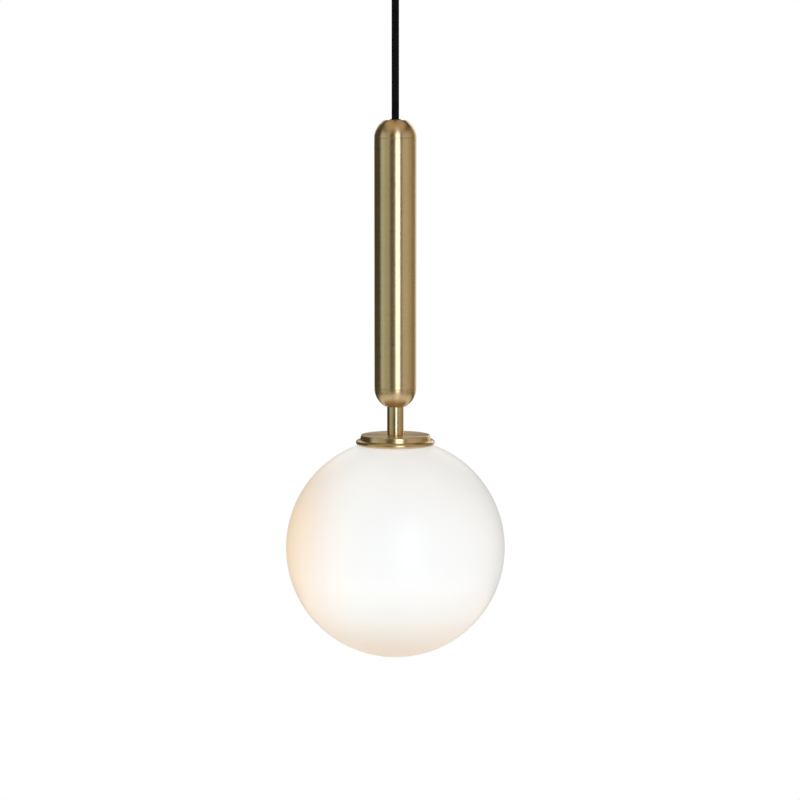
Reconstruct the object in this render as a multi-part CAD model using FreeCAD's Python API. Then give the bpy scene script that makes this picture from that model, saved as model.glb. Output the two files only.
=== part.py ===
"""Pendant ceiling light: an opal glass globe under a brushed brass capsule, hung on a textile cord.

Millimetres, +Z up. The origin is on the ceiling, on the light's axis, in the middle of the
mounting strap's two fixing slots. Everything hangs below it, so heights are negative.
"""

import FreeCAD, Part
import math
import os

V = FreeCAD.Vector
UP = V(0, 0, 1)
os.makedirs("parts", exist_ok=True)

# ---------------------------------------------------------------- driving dimensions, mm
# Cord, a round textile-covered flex
cord_r = 3.4
core_r = 1.1
cord_exposed = 112.3

# Mounting strap on the ceiling
strap_end_gap = 2.3
strap_width = 18.0
strap_thickness = 2.0
strap_ear = 16.0
strap_corner = 2.5
slot_spacing = 64.0
slot_length = 12.0
slot_width = 5.0
strap_hole_r = 5.25

# Canopy, the cup that covers the strap
canopy_r = 50.0
canopy_depth = 28.0
canopy_wall = 1.2
canopy_edge = 4.0
canopy_rim_gap = 0.5

# Side screws, which clamp the canopy to the strap's ears
side_screw_r = 2.0
side_screw_drop = 9.0
side_screw_length = 12.0
side_head_r = 4.2
side_head = 3.2

# Terminal block under the strap
block_length = 15.0
block_width = 20.0
block_height = 13.0
block_inset = 10.0
pole_spacing = 9.0
terminal_r = 2.2
terminal_bore_r = 1.4
clamp_screw_r = 1.2
clamp_screw_length = 3.4
clamp_screw_spacing = 7.0
block_screw_r = 1.5

# Earth screw and its ring terminal
earth_x = 17.0
earth_screw_r = 2.0
earth_head_r = 3.8
earth_head = 2.6
ring_r = 4.5
ring_thickness = 0.8
barrel_r = 1.7
barrel_length = 6.5
barrel_drop = 0.2

# Cord grip in the canopy's floor
grip_lip = 1.6
grip_length = 16.0
grip_stud_length = 7.0
grip_pivot_depth = 5.0
grip_screw_drop = 7.0
sheath_above_stud = 2.5
swing_each_way = 18.0

# All-thread rod, its nuts and washers
rod_r = 5.0
rod_bore_r = 4.0
nut_flats = 14.0
nut_height = 5.0
grip_nut_height = 4.0
washer_r = 9.0
washer_thickness = 1.2

# Capsule: body tube and two domed end caps
tube_r = 19.0
tube_wall = 2.0
tube_length = 226.0
seat_wall = 1.2
edge_chamfer = 0.3
land_r = 10.0
cap_wall = 2.8
cap_plate = 3.0
spigot_length = 9.0
spigot_wall = 1.5
carrier_nut_gap = 3.8
carrier_thickness = 3.0

# Bush and cord anchor in the top end cap
bush_wall = 0.7
bush_flange = 0.8
bush_flange_width = 0.7
anchor_below_cap = 4.15
anchor_length = 23.0
anchor_tip_wall = 1.4
anchor_r = 8.0
anchor_taper = 10.0
anchor_thread = 10.0
anchor_screw_r = 2.0

# Stem between the capsule and the gallery
stem_r = 7.5
stem_wall = 1.5
stem_exposed = 23.7
stem_recess = 1.0

# Gallery, the stepped cap that carries the globe
gallery_top_r = 31.2
gallery_flare = 1.0
gallery_bead = 3.7
gallery_step = 4.4
gallery_height = 9.1
gallery_lip = 0.9
gallery_wall = 1.2
gallery_plate = 1.5
gallery_round = 0.6
ring_height = 5.5
thread_ring_wall = 1.3
gasket_thickness = 1.5

# Opal glass globe
globe_r = 100.0
globe_wall = 3.0
globe_rim_gap = 1.46
neck_gap = 0.45
neck_wall = 2.8
neck_ridge = 0.8
neck_ridge_drop = 1.0
neck_ridge_height = 1.8
shoulder = 2.0

# Lampholder, E27
holder_drop = 9.0
holder_boss_r = 8.0
holder_boss = 6.0
holder_cap_height = 20.0
holder_r = 19.5
holder_wall = 2.2
skirt_length = 37.0
puck_drop = 1.8
puck_height = 8.0
rod_into_holder = 8.0
shell_length = 24.0
shell_wall = 0.4
contact_spring = 2.2
holder_screw_ring = 10.0
holder_screw_r = 1.5
holder_screw_head_r = 2.8
holder_screw_head = 2.0

# Lamp, a golf-ball LED bulb with an E27 cap
screw_crest_r = 13.0
screw_depth = 0.8
screw_pitch = 3.6
screw_turns = 5
bulb_r = 22.5
bulb_length = 78.0
bulb_button_r = 4.5
bulb_button = 1.2
insulator_height = 2.8
insulator_r = 10.5
bulb_cap_end = 26.0
housing_r = 13.4
housing_wall = 1.5
housing_end = 46.5
dome_wall = 1.2
board_thickness = 1.6
led_count = 8
led_ring = 11.0
led_size = 3.0
led_height = 0.8

# Named clearances
thread_gap = 0.05
slip_gap = 0.1
cord_gap = 0.2
body_gap = 0.3

# ---------------------------------------------------------------- radii and lengths worked out from them
strap_length = 2 * (canopy_r - canopy_wall - strap_end_gap)
swing_together = math.acos(math.cos(math.radians(swing_each_way)) ** 2)
grip_mouth_r = grip_pivot_depth * math.tan(swing_together) + cord_r / math.cos(swing_together) + body_gap
grip_r = grip_mouth_r + grip_lip
bush_stem_r = cord_r + cord_gap + bush_wall
bush_flange_r = bush_stem_r + bush_flange_width
anchor_tip_r = cord_r + cord_gap + anchor_tip_wall
gallery_step_r = gallery_top_r + gallery_flare
gallery_rim_r = gallery_step_r + gallery_bead
thread_ring_r = gallery_top_r - gallery_wall - thread_gap
neck_r = thread_ring_r - thread_ring_wall - neck_gap - neck_ridge
globe_drop = gallery_height + math.sqrt(globe_r ** 2 - gallery_rim_r ** 2) + globe_rim_gap

# ---------------------------------------------------------------- heights worked out from them
canopy_floor = -canopy_rim_gap - canopy_depth
canopy_inside = canopy_floor + canopy_wall
grip_mouth = canopy_floor - grip_length
pivot = grip_mouth + grip_pivot_depth
stud_top = canopy_floor + grip_stud_length
sheath_top = stud_top + sheath_above_stud
land = grip_mouth - cord_exposed
top_seam = land - math.sqrt(tube_r ** 2 - land_r ** 2)
bottom_seam = top_seam - tube_length
gallery_top = bottom_seam - tube_r - stem_exposed
globe_centre = gallery_top - globe_drop
holder_top = gallery_top - holder_drop
anchor_top = land - cap_plate - anchor_below_cap
anchor_bottom = anchor_top - anchor_length
carrier_top = anchor_bottom - carrier_nut_gap - nut_height - washer_thickness
rod_top = anchor_bottom + anchor_thread - 1.0
rod_bottom = holder_top - rod_into_holder
sheath_bottom = rod_top + 1.5
seat_r = tube_r - seat_wall
spigot_r = seat_r - slip_gap
inner_dome_r = tube_r - cap_wall
skirt_top = holder_top - holder_cap_height
skirt_bottom = skirt_top - skirt_length
puck_top = skirt_top - puck_drop
puck_bottom = puck_top - puck_height
bulb_tip = puck_bottom - contact_spring - body_gap
shell_bore_r = screw_crest_r + body_gap


# ---------------------------------------------------------------- shapes used more than once
def turned(*outline):
    """A solid of revolution about Z. Each item is a point (r, z), or an arc's (middle, end)."""
    edges = []
    start = outline[0]
    at = V(start[0], 0, start[1])
    for item in list(outline[1:]) + [start]:
        if isinstance(item[0], tuple):
            middle = V(item[0][0], 0, item[0][1])
            end = V(item[1][0], 0, item[1][1])
            edges.append(Part.Arc(at, middle, end).toShape())
        else:
            end = V(item[0], 0, item[1])
            edges.append(Part.LineSegment(at, end).toShape())
        at = end
    face = Part.Face(Part.Wire(edges))
    return face.revolve(V(0, 0, 0), UP, 360)


def ball_point(radius, r, centre, side):
    """The point at distance r from the axis on a ball, above (side 1) or below (-1) its centre."""
    return (r, centre + side * math.sqrt(radius ** 2 - r ** 2))


def ball_arc(radius, start, end, centre):
    """The arc on a ball about (0, centre) from start to end, as turned() takes it."""
    first = math.atan2(start[1] - centre, start[0])
    last = math.atan2(end[1] - centre, end[0])
    middle = (first + last) / 2
    return ((radius * math.cos(middle), centre + radius * math.sin(middle)), end)


def rod(radius, low, high, x=0.0, y=0.0):
    return Part.makeCylinder(radius, high - low, V(x, y, low))


def ring(outer, inner, low, high):
    return rod(outer, low, high).cut(rod(inner, low - 1, high + 1))


def along_x(radius, low, high, y, z):
    return Part.makeCylinder(radius, high - low, V(low, y, z), V(1, 0, 0))


def block(x0, x1, y0, y1, z0, z1):
    return Part.makeBox(x1 - x0, y1 - y0, z1 - z0, V(x0, y0, z0))


def hex_nut(flats, low, high, bore):
    corner = flats / math.sqrt(3)
    points = []
    for k in range(7):
        turn = math.radians(60 * k)
        points.append(V(corner * math.cos(turn), corner * math.sin(turn), low))
    body = Part.Face(Part.makePolygon(points)).extrude(V(0, 0, high - low))
    return body.cut(rod(bore, low - 1, high + 1))


def round_tube(points, radius, name):
    """A round cord or core along straight runs joined by tangent arcs."""
    places = [V(*p) for p in points]
    edges = []
    length = 0.0
    radii = []
    at = places[0]
    for before, corner, after in zip(places, places[1:], places[2:]):
        into = (corner - before).normalize()
        out = (after - corner).normalize()
        turn = into.getAngle(out)
        cut = 0.45 * min((corner - before).Length, (after - corner).Length)
        bend = cut / math.tan(turn / 2)
        start = corner - into * cut
        end = corner + out * cut
        inward = (out - into).normalize()
        centre = corner + inward * math.hypot(bend, cut)
        middle = centre - inward * bend
        edges.append(Part.LineSegment(at, start).toShape())
        edges.append(Part.Arc(start, middle, end).toShape())
        length += (start - at).Length + bend * turn
        radii.append(round(bend, 1))
        at = end
    edges.append(Part.LineSegment(at, places[-1]).toShape())
    length += (places[-1] - at).Length
    first = (places[1] - places[0]).normalize()
    section = Part.Wire([Part.makeCircle(radius, places[0], first)])
    tube = Part.Wire(edges).makePipeShell([section], True, True)
    exact = math.pi * radius ** 2 * length
    print(name, "radii", radii, "length", round(length, 1), "volume ratio", round(tube.Volume / exact, 4))
    return tube


def save(name, shape):
    parts = shape.Solids
    whole = parts[0] if len(parts) == 1 else Part.makeCompound(parts)
    if not parts or not whole.isValid():
        raise ValueError(name + " is not a valid solid")
    whole.exportStep("parts/" + name + ".step")


# ---------------------------------------------------------------- ceiling strap and its fittings
def mounting_strap():
    half = strap_length / 2
    side = strap_width / 2
    outer = block(-half, half, -side, side, -strap_ear, 0)
    corners = [e for e in outer.Edges if abs(e.CenterOfMass.x) > half - 0.1
               and abs(e.CenterOfMass.z) < 0.1]
    outer = outer.makeFillet(strap_corner, corners)
    inside = half - strap_thickness
    inner = block(-inside, inside, -side - 1, side + 1, -strap_ear - 1, -strap_thickness)
    strap = outer.cut(inner)
    strap = strap.cut(rod(strap_hole_r, -strap_thickness - 1, 1))
    for x in (-slot_spacing / 2, slot_spacing / 2):
        reach = (slot_length - slot_width) / 2
        slot = block(x - reach, x + reach, -slot_width / 2, slot_width / 2, -strap_thickness - 1, 1)
        for end in (x - reach, x + reach):
            slot = slot.fuse(rod(slot_width / 2, -strap_thickness - 1, 1, end))
        strap = strap.cut(slot)
    strap = strap.cut(along_x(side_screw_r + thread_gap, -half - 1, half + 1, 0, -side_screw_drop))
    strap = strap.cut(rod(earth_screw_r + thread_gap, -strap_thickness - 1, 1, earth_x))
    return strap.cut(rod(block_screw_r + thread_gap, -strap_thickness - 1, 1, block_middle()))


def side_screws():
    screws = []
    for way in (-1, 1):
        face = canopy_r + body_gap
        head = along_x(side_head_r, face, face + side_head, 0, -side_screw_drop)
        rims = [e for e in head.Edges if abs(e.CenterOfMass.x - face - side_head) < 0.1]
        head = head.makeFillet(0.6, [e for e in rims if e.Curve.TypeId == "Part::GeomCircle"])
        shank = along_x(side_screw_r, face - side_screw_length, face + 1, 0, -side_screw_drop)
        screw = head.fuse(shank).removeSplitter()
        if way < 0:
            screw = screw.rotate(V(0, 0, 0), UP, 180)
        screws.append(screw)
    return Part.makeCompound(screws)


def block_middle():
    return -block_inset - block_length / 2


def pole_places():
    return (-pole_spacing / 2, pole_spacing / 2)


def pole_height():
    return -strap_thickness - block_height / 2


def clamp_screw_places():
    middle = block_middle()
    return (middle - clamp_screw_spacing / 2, middle + clamp_screw_spacing / 2)


def terminal_block():
    low = -strap_thickness - block_height
    body = block(-block_inset - block_length, -block_inset, -block_width / 2, block_width / 2,
                 low, -strap_thickness)
    body = body.makeFillet(0.8, [e for e in body.Edges if e.CenterOfMass.z < -strap_thickness - 0.1])
    for y in pole_places():
        body = body.cut(along_x(terminal_r + thread_gap, -block_inset - block_length - 1,
                                -block_inset + 1, y, pole_height()))
        for x in clamp_screw_places():
            body = body.cut(rod(clamp_screw_r + slip_gap, low - 1, pole_height(), x, y))
    return body.cut(rod(block_screw_r + slip_gap, low - 1, 0, block_middle()))


def terminal_tubes():
    tubes = []
    for y in pole_places():
        low = -block_inset - block_length + 1
        high = -block_inset - 1
        tube = along_x(terminal_r, low, high, y, pole_height())
        tube = tube.cut(along_x(terminal_bore_r, low - 1, high + 1, y, pole_height()))
        for x in clamp_screw_places():
            tube = tube.cut(rod(clamp_screw_r + thread_gap, pole_height() - terminal_r - 1,
                                pole_height(), x, y))
        tubes.append(tube)
    return Part.makeCompound(tubes)


def terminal_clamp_screws():
    screws = []
    top = pole_height() - core_r - thread_gap
    for y in pole_places():
        for x in clamp_screw_places():
            screw = rod(clamp_screw_r, top - clamp_screw_length, top, x, y)
            slot = block(x - 2, x + 2, y - 0.25, y + 0.25, top - clamp_screw_length - 1,
                         top - clamp_screw_length + 0.6)
            screws.append(screw.cut(slot))
    return Part.makeCompound(screws)


def block_fixing_screw():
    x = block_middle()
    low = -strap_thickness - block_height
    screw = rod(block_screw_r, low - 0.05, -0.2, x).fuse(rod(2.8, low - 1.8, low, x))
    return screw.cut(block(x - 3, x + 3, -0.35, 0.35, low - 3, low - 1.1)).removeSplitter()


def earth_screw():
    ring_under = -strap_thickness - ring_thickness
    screw = rod(earth_screw_r, ring_under - 0.1, -0.2, earth_x)
    head = rod(earth_head_r, ring_under - earth_head, ring_under, earth_x)
    screw = screw.fuse(head).removeSplitter()
    low = ring_under - earth_head
    for turn in (0, 90):
        bar = block(-2.2, 2.2, -0.4, 0.4, low - 1, low + 1.4)
        bar.rotate(V(0, 0, 0), UP, turn)
        bar.translate(V(earth_x, 0, 0))
        screw = screw.cut(bar)
    return screw


def earth_ring_terminal():
    low = -strap_thickness - ring_thickness
    plate = rod(ring_r, low, -strap_thickness, earth_x)
    barrel_end = earth_x - ring_r + 1.0
    barrel_z = earth_barrel_height()
    barrel = along_x(barrel_r, barrel_end - barrel_length, barrel_end, 0, barrel_z)
    body = plate.fuse(barrel)
    body = body.cut(rod(earth_screw_r + slip_gap, low - 1, 0, earth_x))
    body = body.cut(rod(earth_head_r + slip_gap, low - 5, low, earth_x))
    return body.cut(along_x(core_r + thread_gap, barrel_end - barrel_length - 1, barrel_end - 2.5,
                            0, barrel_z)).removeSplitter()


def earth_barrel_height():
    return -strap_thickness - barrel_drop - barrel_r


def canopy_cores():
    """Three insulated cores from the cord's cut end to the block and the earth ring."""
    start = sheath_top + body_gap
    spread = 1.5
    bend = pole_height() - 1.0
    inlet = -block_inset - 4.5
    cores = {}
    for name, side in (("canopy_core_live", -1), ("canopy_core_neutral", 1)):
        y = side * pole_spacing / 2
        route = [(-spread, side * spread, start), (-spread, side * spread, bend),
                 (-block_inset / 2, y, pole_height()), (inlet, y, pole_height())]
        cores[name] = route
    barrel_z = earth_barrel_height()
    barrel_mouth = earth_x - ring_r + 1.0 - barrel_length
    cores["canopy_core_earth"] = [(1.9, 0, start), (1.9, 0, start + 8.0), (3.4, 0, barrel_z - 2.2),
                                  (barrel_mouth - 1.6, 0, barrel_z), (barrel_mouth + 3.5, 0, barrel_z)]
    return cores


# ---------------------------------------------------------------- canopy and its cord grip
def canopy():
    rim = -canopy_rim_gap
    inner = canopy_r - canopy_wall
    bend = canopy_edge - canopy_wall
    hole = rod_r + slip_gap
    low = canopy_floor + canopy_edge
    lean = math.sqrt(0.5)
    corner = canopy_r - canopy_edge
    cup = turned((canopy_r, rim), (canopy_r, low),
                 ((corner + canopy_edge * lean, low - canopy_edge * lean), (corner, canopy_floor)),
                 (hole, canopy_floor), (hole, canopy_inside), (corner, canopy_inside),
                 ((corner + bend * lean, low - bend * lean), (inner, low)), (inner, rim))
    slot_r = side_screw_r + body_gap
    reach = canopy_r + 1
    cup = cup.cut(along_x(slot_r, -reach, reach, 0, -side_screw_drop))
    for way in (-1, 1):
        near, far = sorted((way * (inner - 2), way * reach))
        cup = cup.cut(block(near, far, -slot_r, slot_r, -side_screw_drop, 1))
    return cup


def canopy_cord_grip():
    """Turned collet with a threaded stud, a bore for the cord and a flared mouth."""
    bore = cord_r + cord_gap
    waist = canopy_floor - 2.0
    stud = rod_r - thread_gap
    body = turned((bore, stud_top), (stud, stud_top), (stud, canopy_floor),
                  (grip_r, canopy_floor), (grip_r, waist), (grip_r - 0.8, waist - 0.8),
                  (grip_r - 0.8, grip_mouth + 0.6), (grip_r - 1.4, grip_mouth),
                  (grip_mouth_r, grip_mouth), (bore + body_gap, pivot), (bore, pivot + 1.0))
    z = canopy_floor - grip_screw_drop
    return body.cut(along_x(side_screw_r + thread_gap, 0, grip_r + 1, 0, z))


def grip_set_screw():
    z = canopy_floor - grip_screw_drop
    screw = along_x(side_screw_r, cord_r + slip_gap, grip_r - 1.2, 0, z)
    return screw.cut(block(grip_r - 2.2, grip_r, -2.5, 2.5, z - 0.3, z + 0.3))


def grip_washer():
    return ring(washer_r, rod_r + slip_gap, canopy_inside, canopy_inside + washer_thickness)


def grip_lock_nut():
    low = canopy_inside + washer_thickness
    return hex_nut(nut_flats, low, low + grip_nut_height, rod_r + thread_gap)


# ---------------------------------------------------------------- capsule
def domed_cap(side, seam, plate_r, hole_r, plate):
    """A dome with a flat end at plate_r, a spigot for the tube and a central hole. side 1 is up."""
    def at(r, height):
        return (r, seam + side * height)
    rim = at(tube_r, edge_chamfer)
    flat = ball_point(tube_r, plate_r, seam, side)
    plate_height = abs(flat[1] - seam) - plate
    inside = ball_point(inner_dome_r, math.sqrt(inner_dome_r ** 2 - plate_height ** 2), seam, side)
    spigot_inner = spigot_r - spigot_wall
    return turned(at(hole_r, abs(flat[1] - seam)), flat, ball_arc(tube_r, flat, rim, seam),
                  at(tube_r - edge_chamfer, 0), at(spigot_r, 0), at(spigot_r, -spigot_length),
                  at(spigot_inner, -spigot_length), at(spigot_inner, 0),
                  ball_arc(inner_dome_r, at(spigot_inner, 0), inside, seam),
                  at(hole_r, plate_height))


def top_end_cap():
    return domed_cap(1, top_seam, land_r, bush_stem_r + slip_gap, cap_plate)


def bottom_end_cap():
    cap = domed_cap(-1, bottom_seam, stem_r + slip_gap, rod_r + slip_gap, cap_plate + stem_recess)
    flat = ball_point(tube_r, stem_r + slip_gap, bottom_seam, -1)[1]
    return cap.cut(rod(stem_r + slip_gap, flat - 1, flat + stem_recess))


def body_tube():
    low = bottom_seam
    bore = tube_r - tube_wall
    top_seat = carrier_top - carrier_thickness
    bottom_seat = spigot_length + 0.5
    c = edge_chamfer
    return turned((tube_r, top_seam - c), (tube_r, low + c), (tube_r - c, low), (seat_r, low),
                  (seat_r, low + bottom_seat), (bore, low + bottom_seat), (bore, top_seat),
                  (seat_r, top_seat), (seat_r, top_seam), (tube_r - c, top_seam))


def cap_bush():
    bore = cord_r + cord_gap
    low = land - cap_plate - 0.5
    return turned((bore, land + bush_flange), (bush_flange_r - 0.3, land + bush_flange),
                  (bush_flange_r, land + bush_flange - 0.3), (bush_flange_r, land),
                  (bush_stem_r, land), (bush_stem_r, low), (bore, low))


def cord_anchor():
    """Moulded cord grip: tapered nose round the cord, screwed on the rod's top end."""
    bore = cord_r + cord_gap
    low = anchor_bottom
    step = low + anchor_thread
    neck = anchor_top - anchor_taper
    thread = rod_r + thread_gap
    body = turned((bore, anchor_top), (anchor_tip_r, anchor_top), (anchor_r, neck), (anchor_r, low),
                  (thread, low), (thread, step), (bore, step))
    return body.cut(along_x(anchor_screw_r + thread_gap, 0, anchor_r + 1, 0, anchor_screw_height()))


def anchor_screw_height():
    return anchor_top - anchor_taper - anchor_screw_r + 0.6


def anchor_screw():
    z = anchor_screw_height()
    screw = along_x(anchor_screw_r, cord_r + slip_gap, anchor_r, 0, z)
    return screw.cut(block(anchor_r - 1.0, anchor_r + 1, -2.5, 2.5, z - 0.3, z + 0.3))


def threaded_rod():
    return ring(rod_r, rod_bore_r, rod_bottom, rod_top)


def carrier_disc():
    return ring(spigot_r, rod_r + slip_gap, carrier_top - carrier_thickness, carrier_top)


def carrier_washer():
    return ring(washer_r, rod_r + slip_gap, carrier_top, carrier_top + washer_thickness)


def carrier_nut():
    low = carrier_top + washer_thickness
    return hex_nut(nut_flats, low, low + nut_height, rod_r + thread_gap)


def stem():
    top = ball_point(tube_r, stem_r + slip_gap, bottom_seam, -1)[1] + stem_recess
    return ring(stem_r, stem_r - stem_wall, gallery_top, top)


# ---------------------------------------------------------------- gallery and globe
def bead(start_r, end_r, top, bottom):
    """A quarter ellipse's middle and end, bulging outward from (start_r, top)."""
    lean = math.sqrt(0.5)
    middle = (start_r + (end_r - start_r) * lean, bottom + (top - bottom) * lean)
    return (middle, (end_r, bottom))


def gallery():
    low = gallery_top - gallery_height
    lip = low + gallery_lip
    step = gallery_top - gallery_step
    t = gallery_wall
    under = gallery_top - gallery_plate
    r = gallery_round
    lean = math.sqrt(0.5)
    hole = rod_r + slip_gap
    return turned((hole, gallery_top), (gallery_top_r - r, gallery_top),
                  ((gallery_top_r - r + r * lean, gallery_top - r + r * lean),
                   (gallery_top_r, gallery_top - r)),
                  (gallery_step_r, step), bead(gallery_step_r, gallery_rim_r, step, lip),
                  (gallery_rim_r, low), (gallery_rim_r - t, low), (gallery_rim_r - t, lip),
                  (bead(gallery_step_r - t, gallery_rim_r - t, step - 0.2, lip)[0],
                   (gallery_step_r - t, step - 0.2)),
                  (gallery_top_r - t, under), (hole, under))


def thread_ring():
    top = gallery_top - gallery_plate
    return ring(thread_ring_r, thread_ring_r - thread_ring_wall, top - ring_height, top)


def globe_gasket():
    top = gallery_top - gallery_plate
    outer = thread_ring_r - thread_ring_wall - slip_gap
    return ring(outer, neck_r - neck_wall, top - gasket_thickness, top)


def gallery_washer():
    top = gallery_top - gallery_plate
    return ring(washer_r, rod_r + slip_gap, top - washer_thickness, top)


def gallery_nut():
    top = gallery_top - gallery_plate - washer_thickness
    return hex_nut(nut_flats, top - nut_height, top, rod_r + thread_gap)


def globe():
    top = gallery_top - gallery_plate - gasket_thickness - body_gap
    inner_r = globe_r - globe_wall
    bore = neck_r - neck_wall
    shoulder_at = ball_point(globe_r, neck_r + shoulder, globe_centre, 1)
    inner_start = ball_point(inner_r, bore, globe_centre, 1)
    crest = neck_r + neck_ridge
    ridge = top - neck_ridge_drop
    slope = 0.5
    outer_low = ball_point(globe_r, globe_r * 0.7, globe_centre, -1)
    inner_low = ball_point(inner_r, inner_r * 0.7, globe_centre, -1)
    outer_bottom = (0, globe_centre - globe_r)
    inner_bottom = (0, globe_centre - inner_r)
    return turned((bore, top), (neck_r, top), (neck_r, ridge), (crest, ridge - slope),
                  (crest, ridge - neck_ridge_height + slope), (neck_r, ridge - neck_ridge_height),
                  (neck_r, shoulder_at[1] + shoulder), shoulder_at,
                  ball_arc(globe_r, shoulder_at, outer_low, globe_centre),
                  ball_arc(globe_r, outer_low, outer_bottom, globe_centre), inner_bottom,
                  ball_arc(inner_r, inner_bottom, inner_low, globe_centre),
                  ball_arc(inner_r, inner_low, inner_start, globe_centre))


# ---------------------------------------------------------------- lampholder
def holder_cap():
    neck = holder_top - holder_boss
    t = holder_wall
    thread = rod_r + thread_gap
    crown = holder_r - holder_boss_r
    crown_in = crown - t
    lean = math.sqrt(0.5)
    side = neck - crown
    return turned((thread, holder_top), (holder_boss_r, holder_top), (holder_boss_r, neck),
                  ((holder_boss_r + crown * lean, side + crown * lean), (holder_r, side)),
                  (holder_r, skirt_top), (holder_r - t, skirt_top), (holder_r - t, side),
                  ((holder_boss_r + crown_in * lean, side + crown_in * lean),
                   (holder_boss_r, side + crown_in)), (thread, side + crown_in))


def holder_skirt():
    t = holder_wall
    rim = skirt_bottom
    return turned((holder_r, skirt_top), (holder_r, rim + 2.0), (holder_r + 1.0, rim + 1.2),
                  (holder_r + 1.0, rim), (holder_r - t, rim), (holder_r - t, skirt_top))


def holder_screw_places():
    places = []
    for turn in (90, 210, 330):
        angle = math.radians(turn)
        places.append((holder_screw_ring * math.cos(angle), holder_screw_ring * math.sin(angle)))
    return places


def holder_insert():
    """Ceramic puck that carries the screw shell and the centre contact."""
    puck = rod(holder_r - holder_wall - slip_gap, puck_bottom, puck_top)
    for x, y in holder_screw_places():
        puck = puck.cut(rod(holder_screw_r + slip_gap, puck_bottom - 1, puck_top + 1, x, y))
    return puck


def holder_terminal_screws():
    screws = []
    for x, y in holder_screw_places():
        head = rod(holder_screw_head_r, puck_top, puck_top + holder_screw_head, x, y)
        shank = rod(holder_screw_r, puck_bottom + 1.5, puck_top + 0.5, x, y)
        slot = block(x - 4, x + 4, y - 0.3, y + 0.3, puck_top + holder_screw_head - 0.7,
                     puck_top + holder_screw_head + 1)
        screws.append(head.fuse(shank).removeSplitter().cut(slot))
    return Part.makeCompound(screws)


def waved(radius, depth, top, turns, pitch):
    """Outline points of a rolled screw shell, from top to bottom."""
    points = []
    for k in range(turns):
        z = top - k * pitch
        points += [(radius - depth, z), (radius, z - 0.3 * pitch), (radius, z - 0.6 * pitch),
                   (radius - depth, z - 0.9 * pitch)]
    return points


def holder_shell():
    top = puck_bottom
    turns = screw_turns
    outer_r = shell_bore_r + screw_depth + shell_wall
    bottom = top - shell_length
    start = top - 3.0
    outer = waved(outer_r, screw_depth, start, turns, screw_pitch)
    inner = [(r - shell_wall, z) for r, z in outer]
    return turned((outer_r - screw_depth, top), *outer, (outer_r, bottom),
                  (outer_r - shell_wall, bottom), *inner[::-1],
                  (outer_r - screw_depth - shell_wall, top))


def holder_contact():
    """Brass tongue: riveted flat on the puck, then folded down to press on the lamp's tip."""
    flat = block(-8, 4.5, -3, 3, puck_bottom - 0.5, puck_bottom)
    tongue = block(-4, 4.5, -3, 3, puck_bottom - contact_spring, puck_bottom - contact_spring + 0.5)
    fold = block(4, 4.5, -3, 3, puck_bottom - contact_spring, puck_bottom)
    return flat.fuse([tongue, fold]).removeSplitter()


def pendant_cores():
    """Three cores from the cord's lower end, through the rod, to the lampholder's screws."""
    names = ("pendant_core_live", "pendant_core_neutral", "pendant_core_earth")
    cores = {}
    inner = 2.2
    head = puck_top + holder_screw_head + core_r + 0.1
    for name, turn in zip(names, (90, 210, 330)):
        angle = math.radians(turn)
        c, s = math.cos(angle), math.sin(angle)
        stations = [(inner, sheath_bottom - body_gap), (inner, rod_bottom + 1.0),
                    (inner + 2.0, head), (holder_screw_ring + 1.5, head)]
        cores[name] = [(r * c, r * s, z) for r, z in stations]
    return cores


# ---------------------------------------------------------------- lamp
def bulb_contact():
    r = bulb_button_r
    low = bulb_tip - bulb_button
    return turned((0, bulb_tip), (r - 1.5, bulb_tip), (r, low), (0, low))


def bulb_insulator():
    top = bulb_tip - bulb_button
    low = top - insulator_height
    return turned((0, top), (bulb_button_r + 0.6, top), (insulator_r, low), (0, low))


def bulb_screw_base():
    top = bulb_tip - bulb_button - insulator_height
    bottom = bulb_tip - bulb_cap_end
    outer = waved(screw_crest_r, screw_depth, top - 1.2, screw_turns, screw_pitch)
    inner = [(r - shell_wall, z) for r, z in outer]
    return turned((insulator_r, top), *outer, (screw_crest_r, bottom), (screw_crest_r - shell_wall, bottom),
                  *inner[::-1], (insulator_r - 0.5, top - shell_wall), (insulator_r - 1.5, top))


def dome_centre():
    return bulb_tip - bulb_length + bulb_r


def dome_edge():
    z = bulb_tip - housing_end
    return (math.sqrt(bulb_r ** 2 - (z - dome_centre()) ** 2), z)


def bulb_housing():
    top = bulb_tip - bulb_cap_end
    end_r, end_z = dome_edge()
    t = housing_wall
    mid = ((housing_r + end_r) / 2 + 0.4, (top + end_z) / 2 + 0.6)
    return turned((housing_r, top), (mid, (end_r, end_z)), (end_r - t, end_z),
                  ((mid[0] - t, mid[1]), (housing_r - t, top)))


def bulb_dome():
    edge = dome_edge()
    inner = bulb_r - dome_wall
    centre = dome_centre()
    inner_edge = (math.sqrt(inner ** 2 - (edge[1] - centre) ** 2), edge[1])
    side = (bulb_r, centre)
    side_in = (inner, centre)
    return turned(edge, ball_arc(bulb_r, edge, side, centre),
                  ball_arc(bulb_r, side, (0, centre - bulb_r), centre), (0, centre - inner),
                  ball_arc(inner, (0, centre - inner), side_in, centre),
                  ball_arc(inner, side_in, inner_edge, centre))


def board_top():
    return dome_edge()[1] + 3.0


def led_board():
    return rod(dome_edge()[0] - housing_wall - 1.2, board_top() - board_thickness, board_top())


def led_chips():
    chips = []
    top = board_top() - board_thickness
    for k in range(led_count):
        chip = block(led_ring - led_size / 2, led_ring + led_size / 2, -led_size / 2, led_size / 2,
                     top - led_height, top)
        chips.append(chip.rotate(V(0, 0, 0), UP, 360.0 * k / led_count))
    return Part.makeCompound(chips)


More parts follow.
